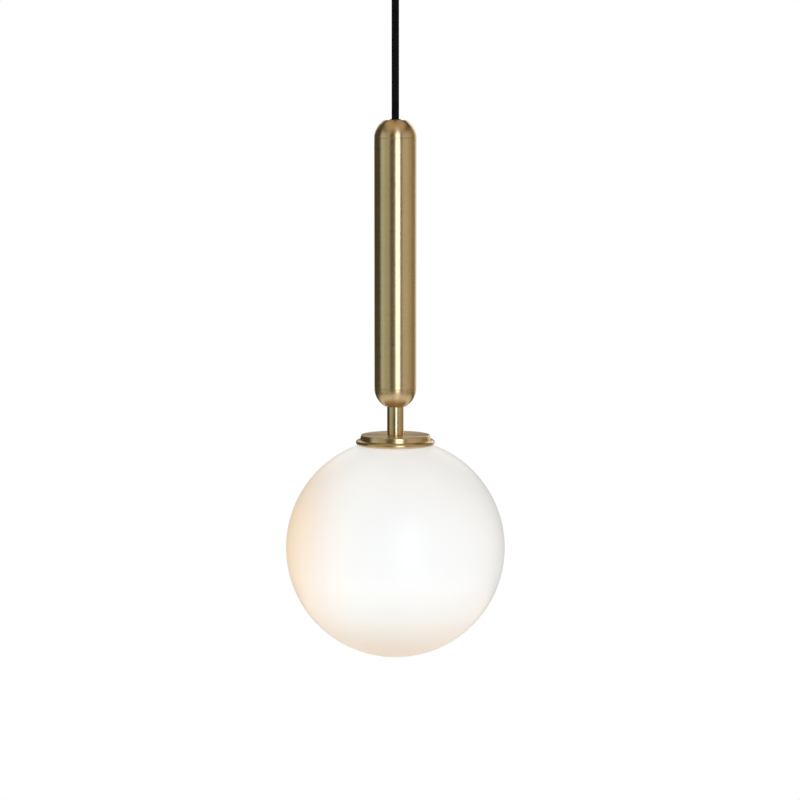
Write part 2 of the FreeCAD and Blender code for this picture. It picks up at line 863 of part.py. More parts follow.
def bulb_driver():
    """Small circuit board on edge in the lamp's cap, with a coil and a capacitor on it."""
    top = bulb_tip - bulb_cap_end + 16.0
    low = board_top() + 1.0
    plate = block(-8.5, 8.5, -0.6, 0.6, low, top)
    coil = rod(3.0, low + 3, low + 9, -3.5, 3.2)
    can = rod(2.5, low + 3, low + 13, 4.0, 3.0)
    return plate.fuse([coil, can]).removeSplitter()


# ---------------------------------------------------------------- cord
def cord():
    top = pivot - cord_r - body_gap
    return rod(cord_r, sheath_bottom, top)


def cord_flex():
    return Part.makeSphere(cord_r, V(0, 0, pivot))


def cord_in_canopy():
    return rod(cord_r, pivot + cord_r + body_gap, sheath_top)


# ---------------------------------------------------------------- build everything
PIECES = (
    mounting_strap, side_screws, terminal_block, terminal_tubes, terminal_clamp_screws,
    block_fixing_screw, earth_screw, earth_ring_terminal,
    canopy, canopy_cord_grip, grip_set_screw, grip_washer, grip_lock_nut, cord_in_canopy,
    cord_flex, cord,
    cap_bush, top_end_cap, cord_anchor, anchor_screw, threaded_rod, carrier_nut, carrier_washer,
    carrier_disc, body_tube, bottom_end_cap, stem, gallery, thread_ring, globe_gasket,
    gallery_washer, gallery_nut, globe,
    holder_cap, holder_skirt, holder_insert, holder_terminal_screws, holder_shell, holder_contact,
    bulb_contact, bulb_insulator, bulb_screw_base, bulb_housing, bulb_dome, led_board, led_chips,
    bulb_driver,
)
for piece in PIECES:
    save(piece.__name__, piece())
for name, route in {**canopy_cores(), **pendant_cores()}.items():
    save(name, round_tube(route, core_r, name))

straight = cord()
print("cord: one straight run, length", round(straight.BoundBox.ZLength, 1), "volume ratio",
      round(straight.Volume / (math.pi * cord_r ** 2 * straight.BoundBox.ZLength), 4))
print("land", round(land, 3), "seams", round(top_seam, 3), round(bottom_seam, 3),
      "gallery", round(gallery_top, 3), "globe centre", round(globe_centre, 3))
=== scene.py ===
import math
import bmesh
import bpy
from mathutils import Matrix, Vector


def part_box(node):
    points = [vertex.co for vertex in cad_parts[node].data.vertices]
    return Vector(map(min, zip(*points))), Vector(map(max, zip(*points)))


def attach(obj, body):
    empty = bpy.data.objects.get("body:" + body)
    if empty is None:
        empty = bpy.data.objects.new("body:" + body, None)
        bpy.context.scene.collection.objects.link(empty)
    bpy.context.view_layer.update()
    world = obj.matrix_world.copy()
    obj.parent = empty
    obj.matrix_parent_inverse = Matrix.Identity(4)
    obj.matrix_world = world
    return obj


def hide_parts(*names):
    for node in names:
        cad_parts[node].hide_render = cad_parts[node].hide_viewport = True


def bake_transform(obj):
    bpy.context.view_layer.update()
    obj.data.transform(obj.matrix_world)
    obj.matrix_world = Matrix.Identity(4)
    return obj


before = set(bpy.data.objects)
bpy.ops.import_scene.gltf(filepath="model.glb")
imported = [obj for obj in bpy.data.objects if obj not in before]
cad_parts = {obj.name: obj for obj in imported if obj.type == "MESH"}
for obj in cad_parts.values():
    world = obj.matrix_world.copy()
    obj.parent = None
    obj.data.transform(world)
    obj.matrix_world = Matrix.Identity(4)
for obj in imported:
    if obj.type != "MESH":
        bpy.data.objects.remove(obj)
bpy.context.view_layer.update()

mm = 0.001

# -- where the light is looked at from
# A long lens a little below the capsule's top, tipped down six degrees, a few millimetres to
# the right of the light's axis. The cord leaves the view just below the canopy's grip.


def add_object(name, data):
    """A new object in the scene."""
    made = bpy.data.objects.new(name, data)
    bpy.context.scene.collection.objects.link(made)
    return made


camera_data = bpy.data.cameras.new("camera")
camera_data.sensor_width = 36.0
camera_data.lens = 113.7
camera = add_object("camera", camera_data)
camera.location = (4.2 * mm, -2286 * mm, -169.7 * mm)
camera.rotation_euler = (math.radians(84), 0, 0)
bpy.context.scene.camera = camera

# -- cord
# Round three-core flex in a black textile braid, hanging straight and tight from the grip in
# the canopy to the anchor in the capsule. Sixteen yarns run each way round it, over and under.
cord_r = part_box("cord")[1].x
cord_route = [(0, 0, -0.0432), (0, 0, -0.0842), (0, 0, -0.1354), (0, 0, -0.17645)]
yarns_each_way = 16
yarn_pitch = 21 * mm
yarn_relief = 0.22 * mm
braid_rings = 600
braid_sides = 96
crease = math.radians(32)


def applied(piece):
    """The piece's mesh as its modifiers, or its curve, leave it."""
    bpy.context.view_layer.update()
    return bpy.data.meshes.new_from_object(piece.evaluated_get(bpy.context.evaluated_depsgraph_get()))


def route_line(name, route, steps):
    """Points read from the route's own smooth curve."""
    data = bpy.data.curves.new(name, "CURVE")
    data.dimensions = "3D"
    data.resolution_u = steps
    spline = data.splines.new("NURBS")
    spline.points.add(len(route) - 1)
    for point, place in zip(spline.points, route):
        point.co = (*place, 1)
    spline.order_u = 3
    spline.use_endpoint_u = True
    guide = add_object(name, data)
    mesh = applied(guide)
    line = [v.co.copy() for v in mesh.vertices]
    bpy.data.objects.remove(guide)
    bpy.data.meshes.remove(mesh)
    return line


def even_points(line, count):
    """The same line in equal steps."""
    reach = [0.0]
    for a, b in zip(line, line[1:]):
        reach.append(reach[-1] + (b - a).length)
    points = []
    k = 0
    for i in range(count):
        want = reach[-1] * i / (count - 1)
        while k < len(line) - 2 and reach[k + 1] < want:
            k += 1
        part = (want - reach[k]) / max(reach[k + 1] - reach[k], 1e-9)
        points.append(line[k].lerp(line[k + 1], min(part, 1.0)))
    return points


def yarn_height(turn, along):
    """How far a yarn stands up, 0 to 1, at a turn round the cord and a length along it."""
    right = yarns_each_way * (turn + along / yarn_pitch)
    left = yarns_each_way * (turn - along / yarn_pitch)
    a = abs(math.sin(math.pi * right))
    b = abs(math.sin(math.pi * left))
    right_on_top = (math.floor(right) + math.floor(left)) % 2 == 0
    if right_on_top:
        return a ** 0.6 * (0.6 + 0.4 * b)
    return b ** 0.6 * (0.6 + 0.4 * a)


def finished(name, body):
    """Makes the drawn body a smooth-shaded piece with its sharp edges kept."""
    bmesh.ops.recalc_face_normals(body, faces=body.faces)
    data = bpy.data.meshes.new(name)
    body.to_mesh(data)
    body.free()
    data.shade_smooth()
    data.set_sharp_from_angle(angle=crease)
    return add_object(name, data)


def closed_tube(name, line, sides, radius_at):
    """A tube along a line, closed at both ends."""
    body = bmesh.new()
    across = (line[1] - line[0]).orthogonal().normalized()
    rows = []
    along = 0.0
    for i, place in enumerate(line):
        if i:
            along += (place - line[i - 1]).length
        ahead = (line[min(i + 1, len(line) - 1)] - line[max(i - 1, 0)]).normalized()
        across = (across - ahead * across.dot(ahead)).normalized()
        beside = ahead.cross(across)
        row = []
        for k in range(sides):
            turn = k / sides
            out = across * math.cos(math.tau * turn) + beside * math.sin(math.tau * turn)
            row.append(body.verts.new(place + out * radius_at(turn, along)))
        rows.append(row)
    for low, high in zip(rows, rows[1:]):
        for k in range(sides):
            n = (k + 1) % sides
            body.faces.new((low[k], low[n], high[n], high[k]))
    for row, middle in ((rows[0][::-1], line[0]), (rows[-1], line[-1])):
        hub = body.verts.new(middle)
        for k in range(sides):
            body.faces.new((row[k], row[(k + 1) % sides], hub))
    return finished(name, body)


def grow(tree, kind, inputs=None, **settings):
    """Adds one node and sets or joins its inputs."""
    new = tree.nodes.new(kind)
    for key, value in settings.items():
        setattr(new, key, value)
    for key, value in (inputs or {}).items():
        if isinstance(value, bpy.types.NodeSocket):
            tree.links.new(value, new.inputs[key])
        else:
            new.inputs[key].default_value = value
    return new


def new_material(name):
    """A node material's Principled shader, and a way to add and join nodes beside it."""
    made = bpy.data.materials.new(name)
    made.use_nodes = True
    tree = made.node_tree
    shader = tree.nodes["Principled BSDF"]

    def node(kind, inputs=None, **settings):
        return grow(tree, "ShaderNode" + kind, inputs, **settings)

    def join(source, target):
        tree.links.new(source, shader.inputs[target])
    return made, shader, node, join


def settle(shader, values):
    """Sets fixed values on the shader."""
    for name, value in values.items():
        shader.inputs[name].default_value = value


def reckon(node, operation, first, second):
    """One step of arithmetic on two values."""
    return node("Math", {0: first, 1: second}, operation=operation).outputs[0]


def noise(node, scale, detail):
    """Soft noise that stays with the piece."""
    place = node("TexCoord").outputs["Object"]
    return node("TexNoise", {"Vector": place, "Scale": scale, "Detail": detail}).outputs["Fac"]


def vary_gloss(node, join, factor, low, high):
    """Roughness that goes from low to high with the factor."""
    rough = node("MapRange", {0: factor, 1: 0.3, 2: 0.7, 3: low, 4: high})
    join(rough.outputs[0], "Roughness")


def emboss(node, join, height, strength, distance):
    """A bump that follows the height."""
    bump = node("Bump", {"Height": height, "Strength": strength, "Distance": distance})
    join(bump.outputs["Normal"], "Normal")


def shades(node, factor, dark, light, low=0.0, high=1.0):
    """A colour that goes from dark to light with the factor."""
    ramp = node("ValToRGB", {0: factor})
    ramp.color_ramp.elements[0].position = low
    ramp.color_ramp.elements[0].color = (*dark, 1)
    ramp.color_ramp.elements[1].position = high
    ramp.color_ramp.elements[1].color = (*light, 1)
    return ramp.outputs["Color"]


def braid_black():
    """Black polyester yarn: matt, a little dusty, with loose fibres."""
    made, shader, node, join = new_material("braid_black")
    fibres = noise(node, 2600.0, 3.0)
    patches = noise(node, 160.0, 2.0)
    mixed = reckon(node, "MULTIPLY", fibres, patches)
    join(shades(node, mixed, (0.001, 0.001, 0.0012), (0.009, 0.0088, 0.0088), 0.12, 0.5), "Base Color")
    emboss(node, join, fibres, 0.5, 0.00012)
    settle(shader, {"Roughness": 0.85, "Specular IOR Level": 0.14, "Sheen Weight": 0.02})
    return made


def paint(piece, finish):
    """Gives a piece, or a node by name, one finish."""
    if isinstance(piece, str):
        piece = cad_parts[piece]
    if not piece.material_slots:
        piece.data.materials.append(finish)
    for place in piece.material_slots:
        place.material = finish


def fit(piece, body, finish, slot, *nodes):
    """Paints a finished piece, fixes it to its body and puts it in the place of its nodes."""
    paint(piece, finish)
    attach(piece, body)
    if nodes:
        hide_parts(*nodes)
    return piece


black_textile = braid_black()
cord_line = even_points(route_line("cord_route", cord_route, 64), braid_rings)
cord = closed_tube("cord_braid", cord_line, braid_sides,
                   lambda turn, along: cord_r - yarn_relief * (1 - yarn_height(turn, along)))
fit(cord, "pendant", black_textile, "black_textile", "cord")
paint("cord_flex", black_textile)
paint("cord_in_canopy", black_textile)

# -- ceiling strap
# Bent strip of zinc-plated steel, screwed to the ceiling through its two slots. Pressed and
# deburred, so its edges are a little round. Its ears take the canopy's side screws.


def eased(name, node, edge):
    """The node's shape with its sharp edges eased to the given width."""
    body = bmesh.new()
    body.from_mesh(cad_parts[node].data)
    bmesh.ops.remove_doubles(body, verts=body.verts, dist=0.002 * mm)
    bmesh.ops.dissolve_limit(body, angle_limit=math.radians(1), verts=body.verts, edges=body.edges)
    sharp = [e for e in body.edges if len(e.link_faces) == 2 and e.calc_face_angle() > math.radians(35)]
    bmesh.ops.bevel(body, geom=sharp, offset=edge, segments=2, profile=0.5, affect="EDGES",
                    clamp_overlap=True)
    return finished(name, body)


def zinc_plate(name, tone, roughness):
    """Zinc plating: pale blue-grey with a faint spangle and handling marks."""
    made, shader, node, join = new_material(name)
    place = node("TexCoord").outputs["Object"]
    spangle = node("TexVoronoi", {"Vector": place, "Scale": 420.0}, feature="F1").outputs["Color"]
    marks = noise(node, 90.0, 5.0)
    join(shades(node, spangle, [c * 0.88 for c in tone], tone), "Base Color")
    vary_gloss(node, join, marks, roughness - 0.07, roughness + 0.12)
    emboss(node, join, marks, 0.15, 0.0001)
    settle(shader, {"Metallic": 1.0})
    return made


ceiling_steel = zinc_plate("zinc_plate_satin", (0.56, 0.58, 0.60), 0.34)
screw_steel = zinc_plate("zinc_plate_bright", (0.68, 0.68, 0.67), 0.24)
fit(eased("ceiling_strap", "mounting_strap", 0.35 * mm), "ceiling_strap", ceiling_steel,
    "ceiling_steel", "mounting_strap")

# -- terminal block and its screws
# Moulded nylon block with two brass tubes. A screw through the middle holds it to the strap,
# and two slotted screws in each tube clamp the wires.


def moulded(name, tone, roughness, grain=0.15, coat=0.0):
    """Moulded plastic: faint flow marks, fine grain and slightly uneven gloss."""
    made, shader, node, join = new_material(name)
    flow = noise(node, 55.0, 3.0)
    fine = noise(node, 3200.0, 2.0)
    join(shades(node, flow, [c * 0.90 for c in tone], tone, 0.3, 0.7), "Base Color")
    vary_gloss(node, join, flow, roughness - 0.05, roughness + 0.06)
    emboss(node, join, fine, grain, 0.00006)
    settle(shader, {"Coat Weight": coat})
    return made


def bare_brass():
    """Turned bare brass with a little tarnish."""
    made, shader, node, join = new_material("turned_brass")
    tarnish = noise(node, 210.0, 4.0)
    join(shades(node, tarnish, (0.62, 0.44, 0.20), (0.80, 0.63, 0.34), 0.35, 0.65), "Base Color")
    vary_gloss(node, join, tarnish, 0.20, 0.36)
    settle(shader, {"Metallic": 1.0})
    return made


white_nylon = moulded("nylon_white", (0.84, 0.83, 0.79), 0.42)
bright_brass = bare_brass()
fit(eased("terminal_block_moulding", "terminal_block", 0.25 * mm), "ceiling_strap", white_nylon,
    "white_nylon", "terminal_block")
paint("terminal_tubes", bright_brass)
for name in ("terminal_clamp_screws", "block_fixing_screw", "earth_screw", "earth_ring_terminal"):
    paint(name, screw_steel)

# -- cores in the canopy
# The cord's three insulated copper cores: brown and blue go to the terminal block, and green
# and yellow to the ring terminal under the earth screw.
core_r = 1.1 * mm
core_routes = {
    "live": [(-1.5, -1.5, -18.7), (-1.5, -1.5, -9.5), (-5.0, -4.5, -8.5), (-14.5, -4.5, -8.5)],
    "neutral": [(-1.5, 1.5, -18.7), (-1.5, 1.5, -9.5), (-5.0, 4.5, -8.5), (-14.5, 4.5, -8.5)],
    "earth": [(1.9, 0, -18.7), (1.9, 0, -10.7), (3.4, 0, -6.1), (5.4, 0, -3.9), (10.5, 0, -3.9)],
}


def earth_sleeve():
    """Green PVC with two yellow stripes, extruded together."""
    made, shader, node, join = new_material("pvc_green_yellow")
    turns = node("Attribute", attribute_name="round_core").outputs["Fac"]
    bands = reckon(node, "MULTIPLY", turns, 2.0)
    share = node("Math", {0: bands}, operation="FRACT").outputs[0]
    yellow = reckon(node, "LESS_THAN", share, 0.42)
    join(shades(node, yellow, (0.02, 0.22, 0.05), (0.80, 0.62, 0.03), 0.4, 0.6), "Base Color")
    settle(shader, {"Roughness": 0.34})
    return made


def add_turn_attribute(piece, sides):
    """Notes each vertex's turn round the core, from 0 to 1, for the striped sleeve."""
    note = piece.data.attributes.new("round_core", "FLOAT", "POINT")
    for i in range(len(piece.data.vertices)):
        note.data[i].value = (i % sides) / sides


core_sleeves = {
    "live": (moulded("pvc_brown", (0.16, 0.055, 0.02), 0.34), "brown_pvc"),
    "neutral": (moulded("pvc_blue", (0.02, 0.09, 0.38), 0.34), "blue_pvc"),
    "earth": (earth_sleeve(), "green_yellow_pvc"),
}
core_sides = 24
for name, route in core_routes.items():
    line = route_line(name, [[c * mm for c in place] for place in route], 14)
    core = closed_tube("canopy_core_" + name + "_sleeve", line, core_sides, lambda turn, along: core_r)
    add_turn_attribute(core, core_sides)
    paint(core, core_sleeves[name][0])
    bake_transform(core)
    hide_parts("canopy_core_" + name)

# -- canopy
# Spun brass cup, brushed round. Its two slots are open at the rim, so that it slides up over
# the strap's side screws.


def rounded(corners):
    """An outline of (r, z, rounding in millimetres), its corners rounded and its long flats held."""
    support = 0.35 * mm
    outline = []
    count = len(corners)
    for i in range(count):
        r, z = corners[i][:2]
        size = (corners[i][2] if len(corners[i]) > 2 else 0) * mm
        here = Vector((r, z))
        back = Vector(corners[i - 1][:2]) - here
        on = Vector(corners[(i + 1) % count][:2]) - here
        if size <= 0 or back.length < 1e-7 or on.length < 1e-7:
            outline.append((r, z))
            continue
        size = min(size, back.length * 0.49, on.length * 0.49)
        ends = [side.normalized() * size for side in (back, on)]
        holds = [here + side.normalized() * min(size + support, side.length * 0.495) for side in (back, on)]
        outline.append(tuple(holds[0]))
        for k in range(6):
            t = k / 5
            outline.append(tuple(here + ends[0] * (1 - t) ** 2 + ends[1] * t ** 2))
        outline.append(tuple(holds[1]))
    return outline


def arc_points(radius, centre_z, start, end, count):
    """Points (r, z) on a ball about the axis, from one angle above its equator to another."""
    points = []
    for k in range(count + 1):
        angle = start + (end - start) * k / count
        points.append((radius * math.cos(angle), centre_z + radius * math.sin(angle)))
    return points


def turned(name, outline, sides=160):
    """Turns a closed outline of (r, z) about the light's axis."""
    body = bmesh.new()
    rings = []
    for r, z in outline:
        if r < 1e-7:
            rings.append([body.verts.new((0, 0, z))])
        else:
            rings.append([body.verts.new((r * math.cos(math.tau * k / sides),
                                          r * math.sin(math.tau * k / sides), z)) for k in range(sides)])
    for a, b in zip(rings, rings[1:] + rings[:1]):
        for k in range(sides):
            n = (k + 1) % sides
            if len(a) == 1 and len(b) == 1:
                continue
            if len(a) == 1:
                body.faces.new((a[0], b[n], b[k]))
            elif len(b) == 1:
                body.faces.new((a[k], a[n], b[0]))
            else:
                body.faces.new((a[k], a[n], b[n], b[k]))
    return finished(name, body)


def cut_out(piece, cutters):
    """Cuts closed shapes out of a piece for good."""
    for cutter in cutters:
        modifier = piece.modifiers.new("cut", "BOOLEAN")
        modifier.object = cutter
        modifier.operation = "DIFFERENCE"
        modifier.solver = "EXACT"
        cut = applied(piece)
        piece.modifiers.clear()
        piece.data = cut
        bpy.data.objects.remove(cutter)
    piece.data.shade_smooth()
    piece.data.set_sharp_from_angle(angle=crease)
    return piece


def peg(radius, length, turn, x, y, z, sides=48):
    """A round bar along X for cutting, turned about Z and set at a place."""
    body = bmesh.new()
    bmesh.ops.create_cone(body, cap_ends=True, segments=sides, radius1=radius, radius2=radius, depth=length)
    lying = Matrix.Rotation(turn, 4, "Z") @ Matrix.Rotation(math.pi / 2, 4, "Y")
    bmesh.ops.transform(body, matrix=Matrix.Translation((x, y, z)) @ lying, verts=body.verts)
    return finished("cutter", body)


def slot_bar(radius, bottom, top, half_length):
    """A bar along X for cutting open slots: round underneath, with straight sides up to its top."""
    outline = [(-radius, top)]
    for k in range(25):
        angle = math.pi * (1 + k / 24)
        outline.append((radius * math.cos(angle), bottom + radius * math.sin(angle)))
    outline.append((radius, top))
    body = bmesh.new()
    ends = [[body.verts.new((x, y, z)) for y, z in outline] for x in (-half_length, half_length)]
    for k in range(len(outline)):
        n = (k + 1) % len(outline)
        body.faces.new((ends[0][k], ends[0][n], ends[1][n], ends[1][k]))
    body.faces.new(ends[0])
    body.faces.new(ends[1])
    return finished("cutter", body)


def brushed_brass(name, tone, roughness, turned_on="Z"):
    """Brass brushed round its axis, with hair lines and slow changes of tone. It has no lacquer."""
    made, shader, node, join = new_material(name)
    place = node("TexCoord").outputs["Object"]
    x, y, z = node("SeparateXYZ", {0: place}).outputs[:3]
    if turned_on == "X":
        x, z = z, x
    squares = reckon(node, "ADD", reckon(node, "MULTIPLY", x, x), reckon(node, "MULTIPLY", y, y))
    radius = reckon(node, "POWER", squares, 0.5)
    slow = reckon(node, "MULTIPLY", reckon(node, "ADD", x, y), 0.03)
    lines_at = node("CombineXYZ", {0: radius, 1: slow, 2: z}).outputs[0]
    hairs = {"Vector": lines_at, "Scale": 1900.0, "Detail": 3.0, "Roughness": 0.6}
    hair = node("TexNoise", hairs).outputs["Fac"]
    cloud = noise(node, 22.0, 3.0)
    tint = reckon(node, "MULTIPLY", hair, cloud)
    dark = [c * 0.94 for c in tone]
    light = [min(c * 1.03, 1) for c in tone]
    join(shades(node, tint, dark, light, 0.1, 0.4), "Base Color")
    vary_gloss(node, join, hair, roughness - 0.03, roughness + 0.04)
    emboss(node, join, hair, 0.12, 0.00001)
    tangent = node("Tangent", direction_type="RADIAL", axis=turned_on)
    join(tangent.outputs[0], "Tangent")
    settle(shader, {"Metallic": 1.0, "Anisotropic": 0.75, "Anisotropic Rotation": 0.25})
    return made


satin_brass = brushed_brass("brushed_brass", (0.72, 0.53, 0.30), 0.30)
canopy_low, canopy_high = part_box("canopy")
canopy_r = canopy_high.y
canopy_wall = 1.2 * mm
canopy_edge = 4.0
stud_hole_r = 5.1 * mm
screw_height = sum(v.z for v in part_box("side_screws")) / 2
slot_r = 2.3 * mm
canopy_cup = turned("canopy_cup", rounded([
    (canopy_r, canopy_high.z, 0.35), (canopy_r, canopy_low.z, canopy_edge),
    (stud_hole_r, canopy_low.z, 0.2), (stud_hole_r, canopy_low.z + canopy_wall, 0.2),
    (canopy_r - canopy_wall, canopy_low.z + canopy_wall, canopy_edge - 1.2),
    (canopy_r - canopy_wall, canopy_high.z, 0.35)]), 192)
slots = slot_bar(slot_r, screw_height, canopy_high.z + 3 * mm, canopy_r + 3 * mm)
fit(cut_out(canopy_cup, [slots]), "canopy", satin_brass, "satin_brass", "canopy")

# -- side screws
# Two knurled brass thumb screws. They pass through the canopy's slots into the strap's ears and
# clamp the canopy. The knurl is rolled into the head, and the shank has an M4 thread.


def value_sockets(tree, **labels):
    """Adds the tree's mesh, number and material inputs, and returns them by name."""
    tree.interface.new_socket("Geometry", in_out="OUTPUT", socket_type="NodeSocketGeometry")
    tree.interface.new_socket("Geometry", in_out="INPUT", socket_type="NodeSocketGeometry")
    for kind, names in labels.items():
        for label in names:
            tree.interface.new_socket(label, in_out="INPUT", socket_type="NodeSocket" + kind)
    return tree.nodes.new("NodeGroupInput").outputs


def shape(tree, kind, inputs=None):
    """Adds one geometry node."""
    return grow(tree, "GeometryNode" + kind, inputs)


def finish_tree(tree, parts, finish):
    """Joins the parts, makes every copy real and gives them their finish."""
    whole = tree.nodes.new("GeometryNodeJoinGeometry")
    for part in parts:
        tree.links.new(part, whole.inputs[0])
    real = shape(tree, "RealizeInstances", {0: whole.outputs[0]})
    painted = shape(tree, "SetMaterial", {0: real.outputs[0], "Material": finish})
    out = tree.nodes.new("NodeGroupOutput")
    tree.links.new(painted.outputs[0], out.inputs[0])
    return tree


def round_section(tree, radius):
    """The small six-sided section of a ridge or a rib."""
    return shape(tree, "CurvePrimitiveCircle", {"Resolution": 6, "Radius": radius})


def swept(tree, line, section):
    """The section drawn along the line, closed at both ends."""
    return shape(tree, "CurveToMesh", {
        0: line.outputs[0], 1: section.outputs[0], "Fill Caps": True})


def thread_tree():
    """A screw thread: one rounded ridge that winds down a shank."""
    tree = bpy.data.node_groups.new("screw_thread", "GeometryNodeTree")
    given = value_sockets(tree, Material=["Finish"], Int=["Steps"], Float=[
        "Ridge Circle Radius", "Ridge Size", "Pitch", "Turns", "Bottom"])
    rise = grow(tree, "ShaderNodeMath", {0: given["Pitch"], 1: given["Turns"]},
                operation="MULTIPLY")
    spiral = shape(tree, "CurveSpiral", {
        "Resolution": given["Steps"], "Rotations": given["Turns"],
        "Start Radius": given["Ridge Circle Radius"],
        "End Radius": given["Ridge Circle Radius"], "Height": rise.outputs[0]})
    upright = shape(tree, "SetCurveNormal", {0: spiral.outputs[0]})
    upright.mode = "Z_UP"
    section = round_section(tree, given["Ridge Size"])
    ridge = swept(tree, upright, section)
    lift = grow(tree, "ShaderNodeCombineXYZ", {2: given["Bottom"]})
    placed = shape(tree, "Transform", {0: ridge.outputs[0], "Translation": lift.outputs[0]})
    smooth = shape(tree, "SetShadeSmooth", {0: placed.outputs[0], "Shade Smooth": True})
    return finish_tree(tree, [given["Geometry"], smooth.outputs[0]], given["Finish"])


def rib_tree():
    """A knurl: straight ribs set evenly round a drum."""
    tree = bpy.data.node_groups.new("straight_knurl", "GeometryNodeTree")
    given = value_sockets(tree, Material=["Finish"], Int=["Count"], Float=[
        "Drum Radius", "Rib Width", "Rib Length", "Middle"])
    circle = shape(tree, "MeshCircle", {
        "Vertices": given["Count"], "Radius": given["Drum Radius"]})
    section = round_section(tree, given["Rib Width"])
    half = grow(tree, "ShaderNodeMath", {0: given["Rib Length"], 1: 0.5}, operation="MULTIPLY")
    down = grow(tree, "ShaderNodeMath", {0: half.outputs[0], 1: -1.0}, operation="MULTIPLY")
    low = grow(tree, "ShaderNodeCombineXYZ", {2: down.outputs[0]})
    high = grow(tree, "ShaderNodeCombineXYZ", {2: half.outputs[0]})
    line = shape(tree, "CurvePrimitiveLine", {"Start": low.outputs[0], "End": high.outputs[0]})
    rib = swept(tree, line, section)
    ribs = shape(tree, "InstanceOnPoints", {
        "Points": circle.outputs[0], "Instance": rib.outputs[0]})
    lift = grow(tree, "ShaderNodeCombineXYZ", {2: given["Middle"]})
    placed = shape(tree, "Transform", {0: ribs.outputs[0], "Translation": lift.outputs[0]})
    return finish_tree(tree, [given["Geometry"], placed.outputs[0]], given["Finish"])


def worked(piece, tree, **values):
    """Runs a tree on a piece and keeps the result as a plain mesh. Input names have _ for spaces."""
    modifier = piece.modifiers.new("work", "NODES")
    modifier.node_group = tree
    for item in tree.interface.items_tree:
        key = item.name.replace(" ", "_").lower()
        if item.in_out == "INPUT" and key in values:
            modifier[item.identifier] = values[key]
    result = applied(piece)
    piece.modifiers.clear()
    piece.data = result
    return piece


screw_thread = thread_tree()
straight_knurl = rib_tree()
head_low = canopy_r + 0.3 * mm
head_r = 4.2 * mm
head_length = 3.2 * mm
shank_r = 2.0 * mm
shank_end = head_low - 12 * mm
side_brass = brushed_brass("turned_side_brass", (0.72, 0.53, 0.30), 0.26, "X")
thread_depth = 0.3 * mm
shank_core = shank_r - thread_depth
head_end = head_low + head_length
head_core = head_r - 0.25 * mm
side_screw = turned("side_screw", rounded([
    (0, head_end), (1.2 * mm, head_end, 0), (head_core, head_end, 0.6), (head_core, head_low, 0.3),
    (shank_core, head_low, 0.1), (shank_core, shank_end, 0.4), (0, shank_end)]), 96)
worked(side_screw, straight_knurl, count=40, drum_radius=head_r - 0.28 * mm, rib_width=0.27 * mm,
       rib_length=head_length - 1.1 * mm, middle=head_low + head_length / 2, finish=side_brass)
worked(side_screw, screw_thread, ridge_circle_radius=shank_core, ridge_size=thread_depth,
       pitch=0.7 * mm, turns=15.0, bottom=shank_end + 0.6 * mm, steps=24, finish=side_brass)
pair = bmesh.new()
for way in (0, math.pi):
    one = bmesh.new()
    one.from_mesh(side_screw.data)
    place = (Matrix.Translation((0, 0, screw_height)) @ Matrix.Rotation(way, 4, "Z")
             @ Matrix.Rotation(math.pi / 2, 4, "Y"))
    bmesh.ops.transform(one, matrix=place, verts=one.verts)
    copy = bpy.data.meshes.new("one_screw")
    one.to_mesh(copy)
    one.free()
    pair.from_mesh(copy)
    bpy.data.meshes.remove(copy)
bpy.data.objects.remove(side_screw)
fit(finished("side_screws_knurled", pair), "ceiling_strap", side_brass, "satin_brass", "side_screws")

# -- cord grip in the canopy
# Turned brass collet. Its M10 stud goes up through the canopy's floor, a washer and a lock nut
# hold it there, and a set screw in its side pinches the cord. The mouth is flared and smooth.
grip_low, grip_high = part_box("canopy_cord_grip")
grip_r = grip_high.y
cup_floor = canopy_low.z
mouth_r = grip_r - 1.6 * mm
cord_bore = cord_r + 0.2 * mm
stud_r = 4.95 * mm
nut_bore = 5.05 * mm
waist = cup_floor - 2 * mm
pivot = grip_low.z + 5 * mm
stud_core = stud_r - 0.45 * mm
grip = turned("cord_grip", rounded([
    (cord_bore, grip_high.z, 0.2), (stud_core, grip_high.z, 0.3), (stud_core, cup_floor, 0),
    (grip_r, cup_floor, 0.2), (grip_r, waist, 0.2), (grip_r - 0.8 * mm, waist - 0.8 * mm, 0.3),
    (grip_r - 0.8 * mm, grip_low.z + 0.6 * mm, 0.4), (grip_r - 1.4 * mm, grip_low.z, 0.1),
    (mouth_r, grip_low.z, 0.1), (cord_bore + 0.3 * mm, pivot, 1.2), (cord_bore, pivot + 1 * mm, 0.4)]), 128)
screw_middle = sum(v.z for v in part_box("grip_set_screw")) / 2
cut_out(grip, [peg(2.05 * mm, grip_r + 1 * mm, 0, (grip_r + 1 * mm) / 2, 0, screw_middle)])
worked(grip, screw_thread, ridge_circle_radius=stud_core, ridge_size=0.42 * mm, pitch=1 * mm,
       turns=6.0, bottom=cup_floor + 0.4 * mm, steps=40, finish=satin_brass)
fit(grip, "canopy", satin_brass, "satin_brass", "canopy_cord_grip")
paint("grip_set_screw", screw_steel)


def washer(name, node):
    """A pressed washer with a soft edge on its punched side."""
    low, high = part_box(node)
    return turned(name, rounded([
        (stud_hole_r, low.z, 0.1), (high.x, low.z, 0.1), (high.x, high.z, 0.4),
        (stud_hole_r, high.z, 0.3)]), 96)


